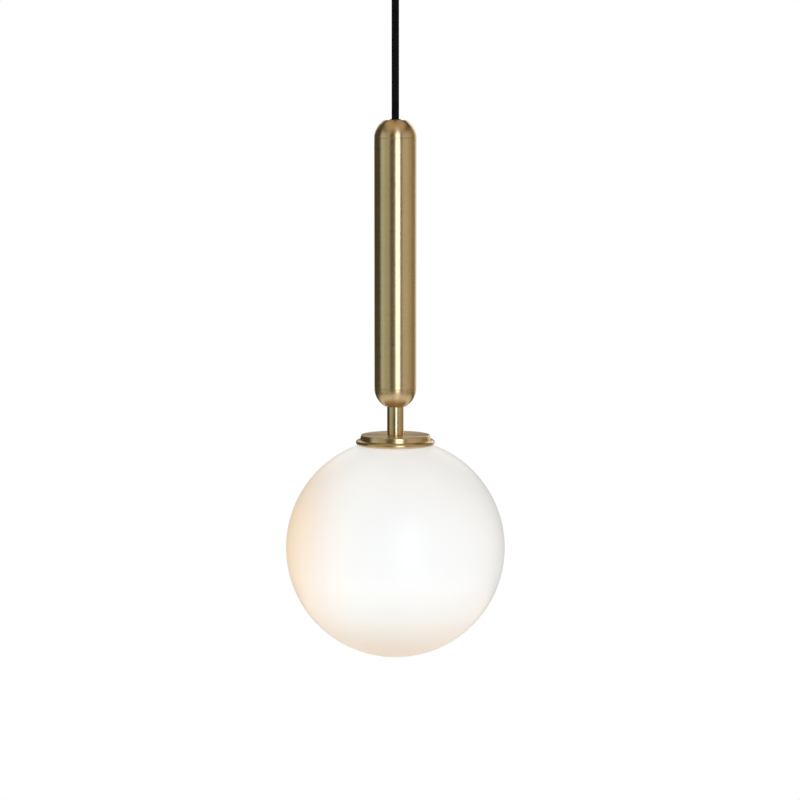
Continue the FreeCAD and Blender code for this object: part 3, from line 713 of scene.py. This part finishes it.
def hexagon_nut(name, node):
    """A hexagon nut, its corners turned off round at both faces, with a chamfered bore."""
    low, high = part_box(node)
    bore = nut_bore
    flats = 14 * mm
    corner = flats / math.sqrt(3)
    rows = [(bore + 0.5 * mm, low.z), (flats / 2 - 0.2 * mm, low.z), (corner, low.z + 1.0 * mm),
            (corner, high.z - 1.0 * mm), (flats / 2 - 0.2 * mm, high.z), (bore + 0.5 * mm, high.z),
            (bore, high.z - 0.5 * mm), (bore, low.z + 0.5 * mm)]
    body = bmesh.new()
    sides = 96
    rings = []
    for limit, z in rows:
        ring = []
        for k in range(sides):
            angle = math.tau * k / sides
            face = (angle - math.pi / 6) % (math.pi / 3)
            reach = min(limit, flats / 2 / math.cos(min(face, math.pi / 3 - face)))
            ring.append(body.verts.new((reach * math.cos(angle), reach * math.sin(angle), z)))
        rings.append(ring)
    for a, b in zip(rings, rings[1:] + rings[:1]):
        for k in range(sides):
            n = (k + 1) % sides
            body.faces.new((a[k], a[n], b[n], b[k]))
    return finished(name, body)


fit(washer("canopy_washer", "grip_washer"), "canopy", screw_steel, "screw_steel", "grip_washer")
fit(hexagon_nut("canopy_lock_nut", "grip_lock_nut"), "canopy", bright_brass, "bright_brass",
    "grip_lock_nut")

# -- bush in the capsule's top
# Small black nylon bush, pressed into the top end cap, that keeps the braid off the brass edge.
bush_low, bush_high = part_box("cap_bush")
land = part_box("top_end_cap")[1].z
bush_stem_r = bush_high.x - 0.7 * mm
black_nylon = moulded("nylon_black", (0.016, 0.016, 0.017), 0.40)
fit(turned("cord_bush", rounded([
    (cord_bore, bush_high.z, 0.2), (bush_high.x, bush_high.z, 0.3), (bush_high.x, land, 0.1),
    (bush_stem_r, land, 0), (bush_stem_r, bush_low.z, 0.3), (cord_bore, bush_low.z, 0.3)]), 96),
    "pendant", black_nylon, "black_nylon", "cap_bush")

# -- capsule
# Brass tube with two domed brass end caps, which sit in its ends on turned spigots. A hair-wide
# groove shows at each seam. All of it is brushed round.
tube_low, tube_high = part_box("body_tube")
tube_r = tube_high.x
seat_r = tube_r - 1.2 * mm
tube_bore = tube_r - 2.0 * mm
groove = 0.3 * mm
spigot_r = seat_r - 0.1 * mm
spigot_inner = spigot_r - 1.5 * mm
dome_inner = tube_r - 2.8 * mm


def domed_cap(name, node, side, seam, flat_r, hole_r, plate):
    """A dome with a flat end and a hole, its spigot going into the tube. Side 1 is up."""
    spigot_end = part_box(node)[0 if side > 0 else 1].z
    flat_height = math.sqrt(tube_r ** 2 - flat_r ** 2)
    plate_height = flat_height - plate
    outer = arc_points(tube_r, 0, math.acos((flat_r + 1.4 * mm) / tube_r), math.asin(groove / tube_r), 26)
    inner_end = math.sqrt(dome_inner ** 2 - plate_height ** 2)
    inner = arc_points(dome_inner, 0, 0.02, math.acos(inner_end / dome_inner), 18)
    outline = [(hole_r, flat_height, 0.25), (flat_r, flat_height, 0.7)] + outer
    outline += [(tube_r - groove, 0, 0), (spigot_r, 0, 0), (spigot_r, side * (spigot_end - seam), 0.3),
                (spigot_inner, side * (spigot_end - seam), 0.2)] + inner + [(hole_r, plate_height, 0.2)]
    return turned(name, rounded([(p[0], seam + side * p[1], *p[2:]) for p in outline]), 192)


fit(domed_cap("capsule_top", "top_end_cap", 1, tube_high.z, 10 * mm, bush_stem_r + 0.1 * mm, 3 * mm),
    "pendant", satin_brass, "satin_brass", "top_end_cap")
seat_end = tube_low.z + 9.5 * mm
disc_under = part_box("carrier_disc")[0].z
fit(turned("capsule_tube", rounded([
    (tube_r, tube_high.z - groove, 0.08), (tube_r, tube_low.z + groove, 0.08),
    (tube_r - groove, tube_low.z, 0), (seat_r, tube_low.z, 0.1), (seat_r, seat_end, 0),
    (tube_bore, seat_end, 0), (tube_bore, disc_under, 0),
    (seat_r, disc_under, 0), (seat_r, tube_high.z, 0.1),
    (tube_r - groove, tube_high.z, 0)]), 192),
    "pendant", satin_brass, "satin_brass", "body_tube")

# -- rod and cord anchor in the capsule
# All-thread steel rod, M10 with 1 mm pitch and hollow for the cores. It pulls the capsule, stem
# and gallery together. A moulded anchor on its top end grips the cord, and a steel disc, washer
# and nut hold it in the middle of the tube.
rod_low, rod_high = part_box("threaded_rod")
rod_bore = 4.0 * mm
rod_core = 4.55 * mm
rod = turned("all_thread_rod", rounded([
    (rod_bore, rod_low.z, 0.2), (rod_core, rod_low.z, 0.2),
    (rod_core, rod_high.z, 0.2), (rod_bore, rod_high.z, 0.2)]), 40)
worked(rod, screw_thread, ridge_circle_radius=rod_core, ridge_size=0.43 * mm, pitch=1 * mm,
       turns=(rod_high.z - rod_low.z) / mm - 1.2, bottom=rod_low.z + 0.6 * mm, steps=30, finish=screw_steel)
fit(rod, "pendant", screw_steel, "screw_steel", "threaded_rod")
anchor_low, anchor_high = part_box("cord_anchor")
anchor_r = anchor_high.x
anchor_taper = 10 * mm
rod_socket = anchor_low.z + 10 * mm
fit(turned("cord_anchor_moulding", rounded([
    (cord_bore, anchor_high.z, 0.3), (cord_bore + 1.4 * mm, anchor_high.z, 0.5),
    (anchor_r, anchor_high.z - anchor_taper, 1.5), (anchor_r, anchor_low.z, 0.5),
    (nut_bore, anchor_low.z, 0.2), (nut_bore, rod_socket, 0), (cord_bore, rod_socket, 0)]), 96),
    "pendant", white_nylon, "white_nylon", "cord_anchor")
paint("anchor_screw", screw_steel)
paint("carrier_disc", ceiling_steel)
fit(washer("disc_washer", "carrier_washer"), "pendant", screw_steel, "screw_steel", "carrier_washer")
fit(hexagon_nut("disc_nut", "carrier_nut"), "pendant", screw_steel, "screw_steel", "carrier_nut")

# -- cores down the rod
# The same three cores go on from the cord's lower end, down the hollow rod, to the screws in
# the lampholder.
insert_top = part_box("holder_insert")[1].z
head_top = insert_top + 2 * mm + core_r + 0.1 * mm
inside_rod = 2.2 * mm
for name, turn in zip(("live", "neutral", "earth"), (90, 210, 330)):
    angle = math.radians(turn)
    stations = [(inside_rod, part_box("cord")[0].z - 0.3 * mm), (inside_rod, rod_low.z + 12 * mm),
                (inside_rod, rod_low.z + 1 * mm), (4.2 * mm, head_top), (11.5 * mm, head_top)]
    line = route_line(name, [(r * math.cos(angle), r * math.sin(angle), z) for r, z in stations], 14)
    core = closed_tube("pendant_core_" + name + "_sleeve", line, core_sides, lambda turn, along: core_r)
    add_turn_attribute(core, core_sides)
    fit(core, "pendant", core_sleeves[name][0], core_sleeves[name][1], "pendant_core_" + name)

# -- capsule's lower cap and the stem
# The lower dome has a shallow recess, and the short brass stem stands between it and the gallery.
stem_low, stem_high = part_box("stem")
stem_r = stem_high.x
stem_hole_r = stem_r + 0.1 * mm
lower_cap = domed_cap("capsule_bottom", "bottom_end_cap", -1, tube_low.z, stem_hole_r + 0.5 * mm,
                      stud_hole_r, 4 * mm)
cap_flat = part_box("bottom_end_cap")[0].z
below_flat = cap_flat - 2 * mm
seat_cutter = turned("cutter", [
    (0, below_flat), (stem_hole_r, below_flat), (stem_hole_r, stem_high.z), (0, stem_high.z)], 96)
fit(cut_out(lower_cap, [seat_cutter]), "pendant", satin_brass, "satin_brass", "bottom_end_cap")
stem_bore = stem_r - 1.5 * mm
fit(turned("short_stem", rounded([
    (stem_r, stem_low.z, 0.15), (stem_r, stem_high.z, 0.15),
    (stem_bore, stem_high.z, 0.1), (stem_bore, stem_low.z, 0.1)]), 128),
    "pendant", satin_brass, "satin_brass", "stem")

# -- gallery
# Turned brass cap over the globe: a flat top, a short slightly flared side, and a rolled bead
# that spreads over the glass. An aluminium thread ring inside it takes the globe's neck.
gallery_low, gallery_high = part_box("gallery")
gallery_rim = gallery_high.x
gallery_top_r = gallery_rim - 4.7 * mm
gallery_step_r = gallery_top_r + 1.0 * mm
gallery_step = gallery_high.z - 4.4 * mm
roll = gallery_low.z + 2.6 * mm
sheet = 1.2 * mm


def bead(start_r, end_r, top, bottom, count):
    """Points of a quarter ellipse that bulges outward from (start_r, top) to (end_r, bottom)."""
    points = []
    for k in range(count + 1):
        angle = math.pi / 2 * (1 - k / count)
        points.append((start_r + (end_r - start_r) * math.cos(angle),
                       bottom + (top - bottom) * math.sin(angle)))
    return points


under = gallery_high.z - 1.5 * mm
outside = bead(gallery_step_r, gallery_rim, gallery_step, roll, 14)
outside += bead(gallery_rim - 1.6 * mm, gallery_rim, gallery_low.z, roll, 10)[-2::-1]
inside = bead(gallery_step_r - sheet, gallery_rim - 2.2 * mm, gallery_step - 0.2 * mm, gallery_low.z, 12)
fit(turned("globe_gallery", rounded(
    [(stud_hole_r, gallery_high.z, 0.1), (gallery_top_r, gallery_high.z, 0.6)] + outside + inside[::-1]
    + [(gallery_top_r - sheet, under, 0.3), (stud_hole_r, under, 0.1)]), 192),
    "pendant", satin_brass, "satin_brass", "gallery")


def turned_aluminium():
    """Bare aluminium with fine turning marks."""
    made, shader, node, join = new_material("turned_aluminium")
    place = node("TexCoord").outputs["Object"]
    stretch = node("Mapping", {0: place, "Scale": (6.0, 6.0, 2600.0)}).outputs[0]
    marks = node("TexNoise", {"Vector": stretch, "Scale": 1.0, "Detail": 3.0}).outputs["Fac"]
    join(shades(node, marks, (0.60, 0.60, 0.61), (0.74, 0.74, 0.75), 0.3, 0.7), "Base Color")
    vary_gloss(node, join, marks, 0.28, 0.42)
    settle(shader, {"Metallic": 1.0})
    return made


ring_low, ring_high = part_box("thread_ring")
ring_inner = ring_high.x - 1.3 * mm
neck_clearance = 1.25 * mm
neck_wall = 2.8 * mm
neck_r = ring_inner - neck_clearance
neck_bore = neck_r - neck_wall
ring_aluminium = turned_aluminium()
thread_ring = turned("neck_thread_ring", rounded([
    (ring_high.x, ring_low.z, 0.2), (ring_high.x, ring_high.z, 0.1),
    (ring_inner, ring_high.z, 0.1), (ring_inner, ring_low.z, 0.4)]), 160)
worked(thread_ring, screw_thread, ridge_circle_radius=ring_inner + 0.15 * mm, ridge_size=0.32 * mm,
       pitch=1.8 * mm, turns=1.9, bottom=ring_low.z + 1.0 * mm, steps=96, finish=ring_aluminium)
fit(thread_ring, "pendant", ring_aluminium, "ring_aluminium", "thread_ring")

gasket_low, gasket_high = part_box("globe_gasket")
gasket_rubber = moulded("silicone_white", (0.66, 0.65, 0.62), 0.55, 0.3)
fit(turned("neck_gasket", rounded([
    (gasket_high.x, gasket_low.z, 0.5), (gasket_high.x, gasket_high.z, 0.3),
    (neck_bore, gasket_high.z, 0.3), (neck_bore, gasket_low.z, 0.5)]), 128),
    "pendant", gasket_rubber, "gasket_rubber", "globe_gasket")
fit(washer("gallery_clamp_washer", "gallery_washer"), "pendant", screw_steel, "screw_steel",
    "gallery_washer")
fit(hexagon_nut("gallery_clamp_nut", "gallery_nut"), "pendant", screw_steel, "screw_steel", "gallery_nut")

# -- lampholder
# Black moulded E27 lampholder, screwed on the rod's lower end: a domed cap, a ribbed skirt, a
# glazed porcelain insert with three terminal screws, a rolled nickel shell and a brass tongue.
cap_low, cap_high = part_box("holder_cap")
skirt_low, skirt_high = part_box("holder_skirt")
holder_r = cap_high.x
holder_wall = 2.2 * mm
boss_r = 8 * mm
boss_low = cap_high.z - 6 * mm
crown_low = boss_low - (holder_r - boss_r)
skirt_bore = holder_r - holder_wall
dome = bead(boss_r, holder_r, boss_low, crown_low, 12)
dome_in = bead(boss_r, skirt_bore, boss_low - holder_wall, crown_low, 10)
holder_cap = turned("lampholder_cap", rounded(
    [(nut_bore, cap_high.z, 0.3), (boss_r, cap_high.z, 0.6)] + dome
    + [(holder_r, cap_low.z, 0.15), (skirt_bore, cap_low.z, 0)] + dome_in[::-1]
    + [(nut_bore, boss_low - holder_wall)]), 128)
fit(holder_cap, "pendant", black_nylon, "black_nylon", "holder_cap")

drum_r = holder_r - 0.3 * mm
skirt = turned("lampholder_skirt", rounded([
    (drum_r, skirt_high.z, 0.2), (drum_r, skirt_low.z + 2.0 * mm, 0.4),
    (skirt_high.x, skirt_low.z + 1.2 * mm, 0.3), (skirt_high.x, skirt_low.z, 0.4),
    (skirt_bore, skirt_low.z, 0.4), (skirt_bore, skirt_high.z, 0.1)]), 128)
worked(skirt, straight_knurl, count=64, drum_radius=drum_r - 0.05 * mm, rib_width=0.35 * mm,
       rib_length=skirt_high.z - skirt_low.z - 5 * mm, middle=(skirt_high.z + skirt_low.z) / 2 + 1 * mm,
       finish=black_nylon)
fit(skirt, "pendant", black_nylon, "black_nylon", "holder_skirt")


def porcelain():
    """Glazed white porcelain with small specks under the glaze."""
    made, shader, node, join = new_material("glazed_porcelain")
    specks = noise(node, 900.0, 2.0)
    join(shades(node, specks, (0.60, 0.57, 0.50), (0.86, 0.85, 0.81), 0.22, 0.40), "Base Color")
    settle(shader, {"Roughness": 0.16, "Coat Weight": 0.6})
    return made


def rolled_nickel():
    """Thin nickel-plated shell metal, slightly worn along the thread."""
    made, shader, node, join = new_material("rolled_nickel")
    wear = noise(node, 300.0, 4.0)
    join(shades(node, wear, (0.56, 0.54, 0.50), (0.74, 0.72, 0.68), 0.35, 0.65), "Base Color")
    vary_gloss(node, join, wear, 0.18, 0.34)
    settle(shader, {"Metallic": 1.0})
    return made


shell_nickel = rolled_nickel()
fit(eased("porcelain_insert", "holder_insert", 0.4 * mm), "pendant", porcelain(), "white_porcelain",
    "holder_insert")
paint("holder_terminal_screws", bright_brass)
paint("holder_shell", shell_nickel)
paint("holder_contact", bright_brass)

# -- lamp
# Golf-ball LED lamp, 45 mm across, which passes the globe's neck: a rolled screw cap with a
# soldered tip in black glass, a white housing, and a frosted dome over a board with eight chips.
base_low, base_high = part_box("bulb_screw_base")
crest_r = base_high.x
ridge = 1.0 * mm
neck_top_r = 10.5 * mm
valley_r = crest_r - 0.75 * mm
collar_r = crest_r - 0.1 * mm
cap_bore = crest_r - 1.2 * mm
base = turned("lamp_screw_cap", rounded([
    (neck_top_r - 1.5 * mm, base_high.z, 0), (neck_top_r, base_high.z, 0.3),
    (valley_r, base_high.z - 1.6 * mm, 0.6), (valley_r, base_low.z + 3.2 * mm, 0.5),
    (collar_r, base_low.z + 2.4 * mm, 0.4), (collar_r, base_low.z, 0.1),
    (crest_r - 0.5 * mm, base_low.z, 0), (cap_bore, base_low.z + 3.4 * mm, 0),
    (cap_bore, base_high.z - 2 * mm, 0)]), 128)
worked(base, screw_thread, ridge_circle_radius=crest_r - ridge, ridge_size=ridge, pitch=3.63 * mm,
       turns=4.2, bottom=base_low.z + 3.6 * mm, steps=72, finish=shell_nickel)
fit(base, "bulb", shell_nickel, "shell_nickel", "bulb_screw_base")
paint("bulb_contact", screw_steel)
black_glass = moulded("black_glass", (0.02, 0.015, 0.03), 0.12, 0.05, 0.5)
paint("bulb_insulator", black_glass)

housing_low, housing_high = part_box("bulb_housing")
dome_low, dome_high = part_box("bulb_dome")
bulb_white = moulded("lamp_housing_white", (0.83, 0.83, 0.81), 0.38)
edge_r = dome_high.x
dome_centre = dome_low.z + edge_r
mouth = math.sqrt(edge_r ** 2 - (housing_low.z - dome_centre) ** 2)
waist_r = 13.4 * mm
housing_wall = 1.5 * mm
flare = []
for k in range(15):
    t = k / 14
    swell = math.sin(math.pi / 2 * t)
    flare.append((waist_r + (mouth - waist_r) * (0.55 * t + 0.45 * swell),
                  housing_high.z + (housing_low.z - housing_high.z) * t))
housing = turned("lamp_housing", rounded(
    [(waist_r - housing_wall, housing_high.z, 0)] + flare
    + [(r - housing_wall, z) for r, z in flare[:0:-1]]), 128)
fit(housing, "bulb", bulb_white, "bulb_white", "bulb_housing")


def lit_diffuser():
    """Frosted plastic dome with the chips' warm light in it."""
    made, shader, node, join = new_material("frosted_dome")
    frost = noise(node, 1800.0, 2.0)
    glow = noise(node, 30.0, 1.0)
    join(shades(node, glow, (0.86, 0.85, 0.82), (0.92, 0.91, 0.88), 0.3, 0.7), "Base Color")
    join(shades(node, glow, (1.0, 0.84, 0.62), (1.0, 0.88, 0.68), 0.3, 0.7), "Emission Color")
    emboss(node, join, frost, 0.2, 0.00005)
    settle(shader, {"Emission Strength": 0.45, "Roughness": 0.35})
    return made


def hollow_ball(radius, inner_radius, centre_z, top, inner_top, steps, inner_steps):
    """A ball's wall about the axis, open above, from its outer top down and up inside again."""
    outside = arc_points(radius, centre_z, top, -math.pi / 2, steps)
    inside = arc_points(inner_radius, centre_z, -math.pi / 2, inner_top, inner_steps)
    outside[-1] = (0, outside[-1][1])
    inside[0] = (0, inside[0][1])
    return outside + inside


rise = housing_low.z - dome_centre
dome_inside = edge_r - 1.2 * mm
fit(turned("lamp_dome", hollow_ball(edge_r, dome_inside, dome_centre, math.asin(rise / edge_r),
                                    math.asin(rise / dome_inside), 48, 36), 128),
    "bulb", lit_diffuser(), "bulb_diffuser", "bulb_dome")


def board_mask(name, dark, light):
    """A circuit board's solder mask with faint tracks under it."""
    made, shader, node, join = new_material(name)
    place = node("TexCoord").outputs["Object"]
    tracks = node("TexVoronoi", {"Vector": place, "Scale": 260.0}, feature="DISTANCE_TO_EDGE")
    join(shades(node, tracks.outputs["Distance"], dark, light, 0.04, 0.10), "Base Color")
    settle(shader, {"Roughness": 0.32})
    return made


paint("led_board", board_mask("board_white", (0.62, 0.62, 0.60), (0.84, 0.84, 0.82)))
paint("led_chips", moulded("phosphor_yellow", (0.88, 0.66, 0.10), 0.45))
paint("bulb_driver", board_mask("board_green", (0.10, 0.16, 0.03), (0.02, 0.16, 0.06)))

# -- globe
# Mouth-blown opal glass, white all through, three millimetres thick. Its ground neck goes up
# into the gallery and holds there by a glass thread. The lamp lights it from inside. Painted
# light and shade are in its glow: warm light toward -X, shade toward the bottom.
globe_low, globe_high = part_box("globe")
globe_r = globe_high.x
globe_wall = 3 * mm
globe_centre = globe_low.z + globe_r
shoulder_r = neck_r + 2 * mm
shoulder = globe_centre + math.sqrt(globe_r ** 2 - shoulder_r ** 2)
inner_r = globe_r - globe_wall
crest = neck_r + 0.8 * mm
ridge_top = globe_high.z - 1.0 * mm


def bands(node, factor, stops):
    """A colour that passes through several stops of (position, colour)."""
    ramp = node("ValToRGB", {0: factor})
    ramp.color_ramp.interpolation = "CARDINAL"
    steps = ramp.color_ramp.elements
    while len(steps) < len(stops):
        steps.new(0.5)
    for step, (position, colour) in zip(steps, stops):
        step.position = position
        step.color = (*colour, 1)
    return ramp.outputs["Color"]


def lit_opal():
    """Opal glass lit from inside. Its glow colour carries painted light and shade: painted warm light
    toward -X, painted shade darker and warmer toward the bottom, and painted light brighter toward the top.
    """
    made, shader, node, join = new_material("opal_glass")
    place = node("TexCoord").outputs["Object"]
    x, y, z = node("SeparateXYZ", {0: place}).outputs[:3]
    blown = noise(node, 9.0, 1.0)
    across = reckon(node, "ADD", x, reckon(node, "MULTIPLY", blown, 0.012))
    from_left = node("MapRange", {0: across, 1: -0.099, 2: 0.006, 3: 0.0, 4: 1.0}).outputs[0]
    from_below = node("MapRange", {0: z, 1: globe_centre - 0.095, 2: globe_centre + 0.09,
                                   3: 0.0, 4: 1.0}).outputs[0]
    # Painted warm light: the glow is peach at -X and neutral at +X.
    warm = bands(node, from_left, [
        (0.0, (0.86, 0.635, 0.42)), (0.31, (0.73, 0.61, 0.52)),
        (0.57, (0.67, 0.65, 0.635)), (1.0, (0.60, 0.59, 0.595))])
    # Painted shade: the glow is darker and warmer toward the bottom, with painted light brighter toward the
    # top.
    low = bands(node, from_below, [
        (0.0, (0.56, 0.35, 0.19)), (0.19, (0.79, 0.71, 0.63)), (0.41, (1, 1, 1)),
        (0.75, (1.06, 1.05, 1.04)), (1.0, (1.26, 1.17, 1.10))])
    lit = node("VectorMath", {0: warm, 1: low}, operation="MULTIPLY").outputs[0]
    join(lit, "Emission Color")
    join(shades(node, blown, (0.53, 0.52, 0.50), (0.57, 0.56, 0.54), 0.3, 0.7), "Base Color")
    emboss(node, join, blown, 0.05, 0.001)
    settle(shader, {"Emission Strength": 1.0, "Roughness": 0.35, "Specular IOR Level": 0.2,
                    "Coat Weight": 1.0, "Coat Roughness": 0.42})
    return made


globe_body = hollow_ball(globe_r, inner_r, globe_centre, math.acos(shoulder_r / globe_r),
                         math.acos(neck_bore / inner_r), 110, 70)
globe = fit(turned("opal_globe", rounded([
    (neck_bore, globe_high.z, 0.9), (neck_r, globe_high.z, 0.7), (neck_r, ridge_top, 0.1),
    (crest, ridge_top - 0.5 * mm, 0.3), (crest, ridge_top - 1.3 * mm, 0.3),
    (neck_r, ridge_top - 1.8 * mm, 0.1), (neck_r, shoulder + 1.2 * mm, 0.8)] + globe_body), 192),
    "globe", lit_opal(), "opal_glass", "globe")

# -- the room round the light
# A pale floor well below, a white background, and tall soft boxes: a bright one just right of
# the lens, cool ones on the left, warm ones on the right, with a warm ceiling and a back wall.
# Their places, colours and strengths were set by trial for the view from the front.
floor_level = -1250 * mm
floor_r = 1600 * mm


def pale_floor():
    """A round of pale matt board."""
    made, shader, node, join = new_material("pale_floor")
    grain = noise(node, 60.0, 4.0)
    join(shades(node, grain, (0.80, 0.79, 0.78), (0.85, 0.84, 0.83), 0.3, 0.7), "Base Color")
    settle(shader, {"Roughness": 0.7})
    body = bmesh.new()
    bmesh.ops.create_circle(body, cap_ends=True, segments=96, radius=floor_r)
    bmesh.ops.translate(body, verts=body.verts, vec=(0, 0, floor_level))
    piece = finished("floor", body)
    piece.data.materials.append(made)
    return piece


def soft_box(name, place, aim, width, height, tone, radiance):
    """A rectangular soft light that the lens doesn't see."""
    data = bpy.data.lights.new(name, "AREA")
    data.shape = "RECTANGLE"
    data.size = width
    data.size_y = height
    data.color = tone
    data.energy = radiance * width * height * math.pi
    box = add_object(name, data)
    box.location = place
    box.rotation_euler = (Vector(aim) - Vector(place)).to_track_quat("-Z", "Y").to_euler()
    box.visible_camera = False
    return box


def upright_box(name, start, end, tone, radiance, distance=2.8, low=-1.15, high=1.35):
    """A tall soft box that fills the turn from start to end degrees right of the lens."""
    angle = math.radians((start + end) / 2 - 90)
    width = 2 * distance * math.tan(math.radians((end - start) / 2))
    middle = (low + high) / 2
    place = (distance * math.cos(angle), distance * math.sin(angle), middle)
    return soft_box(name, place, (0, 0, middle), width, high - low, tone, radiance)


floor = pale_floor()
upright_box("key", 2, 25, (0.70, 0.84, 1.0), 3.9)
upright_box("left_near", -59, -30, (0.86, 1.0, 0.86), 0.47)
upright_box("left_far", -88, -59, (0.80, 1.0, 0.98), 0.64)
upright_box("right_near", 38, 74, (1.0, 1.0, 0.94), 0.56)
upright_box("right_side", 74, 98, (1.0, 0.93, 0.66), 0.46)
upright_box("right_back", 98, 128, (1.0, 0.84, 0.52), 0.27)
right_rear = upright_box("right_rear", 134, 166, (1.0, 0.96, 0.88), 0.75)
soft_box("ceiling_glow", (0, -0.3, 1.5), (0, 0, 0), 3.0, 3.0, (1.0, 0.82, 0.56), 0.50)
soft_box("back_wall", (0, 2.8, 0.9), (0, 0, -0.4), 3.4, 1.6, (1.0, 0.96, 0.90), 0.70)


def lights_only(light, piece, state):
    """Links a light to one piece: INCLUDE lights it alone, EXCLUDE lights everything else."""
    group = bpy.data.collections.new(light.name + "_pieces")
    group.objects.link(piece)
    light.light_linking.receiver_collection = group
    group.collection_objects[0].light_linking.link_state = state


# A wash from above keeps the floor pale and falls on nothing else. The rear light leaves the
# globe out, whose right edge it would make too bright.
floor_wash = soft_box("floor_wash", (0, 0, 2), (0, 0.01, 0), 5.0, 5.0, (1.0, 0.98, 0.95), 1.5)
lights_only(floor_wash, floor, "INCLUDE")
lights_only(right_rear, globe, "EXCLUDE")

world = bpy.data.worlds.new("room")
bpy.context.scene.world = world
world.use_nodes = True
room = world.node_tree
room.nodes.clear()
seen = grow(room, "ShaderNodeLightPath")
white = grow(room, "ShaderNodeBackground", {"Color": (1, 1, 1, 1)})
dim = grow(room, "ShaderNodeBackground", {"Color": (1.0, 0.91, 0.66, 1), "Strength": 0.075})
either = grow(room, "ShaderNodeMixShader", {
    0: seen.outputs["Is Camera Ray"], 1: dim.outputs[0], 2: white.outputs[0]})
grow(room, "ShaderNodeOutputWorld", {"Surface": either.outputs[0]})
bpy.context.scene.view_settings.view_transform = "Standard"
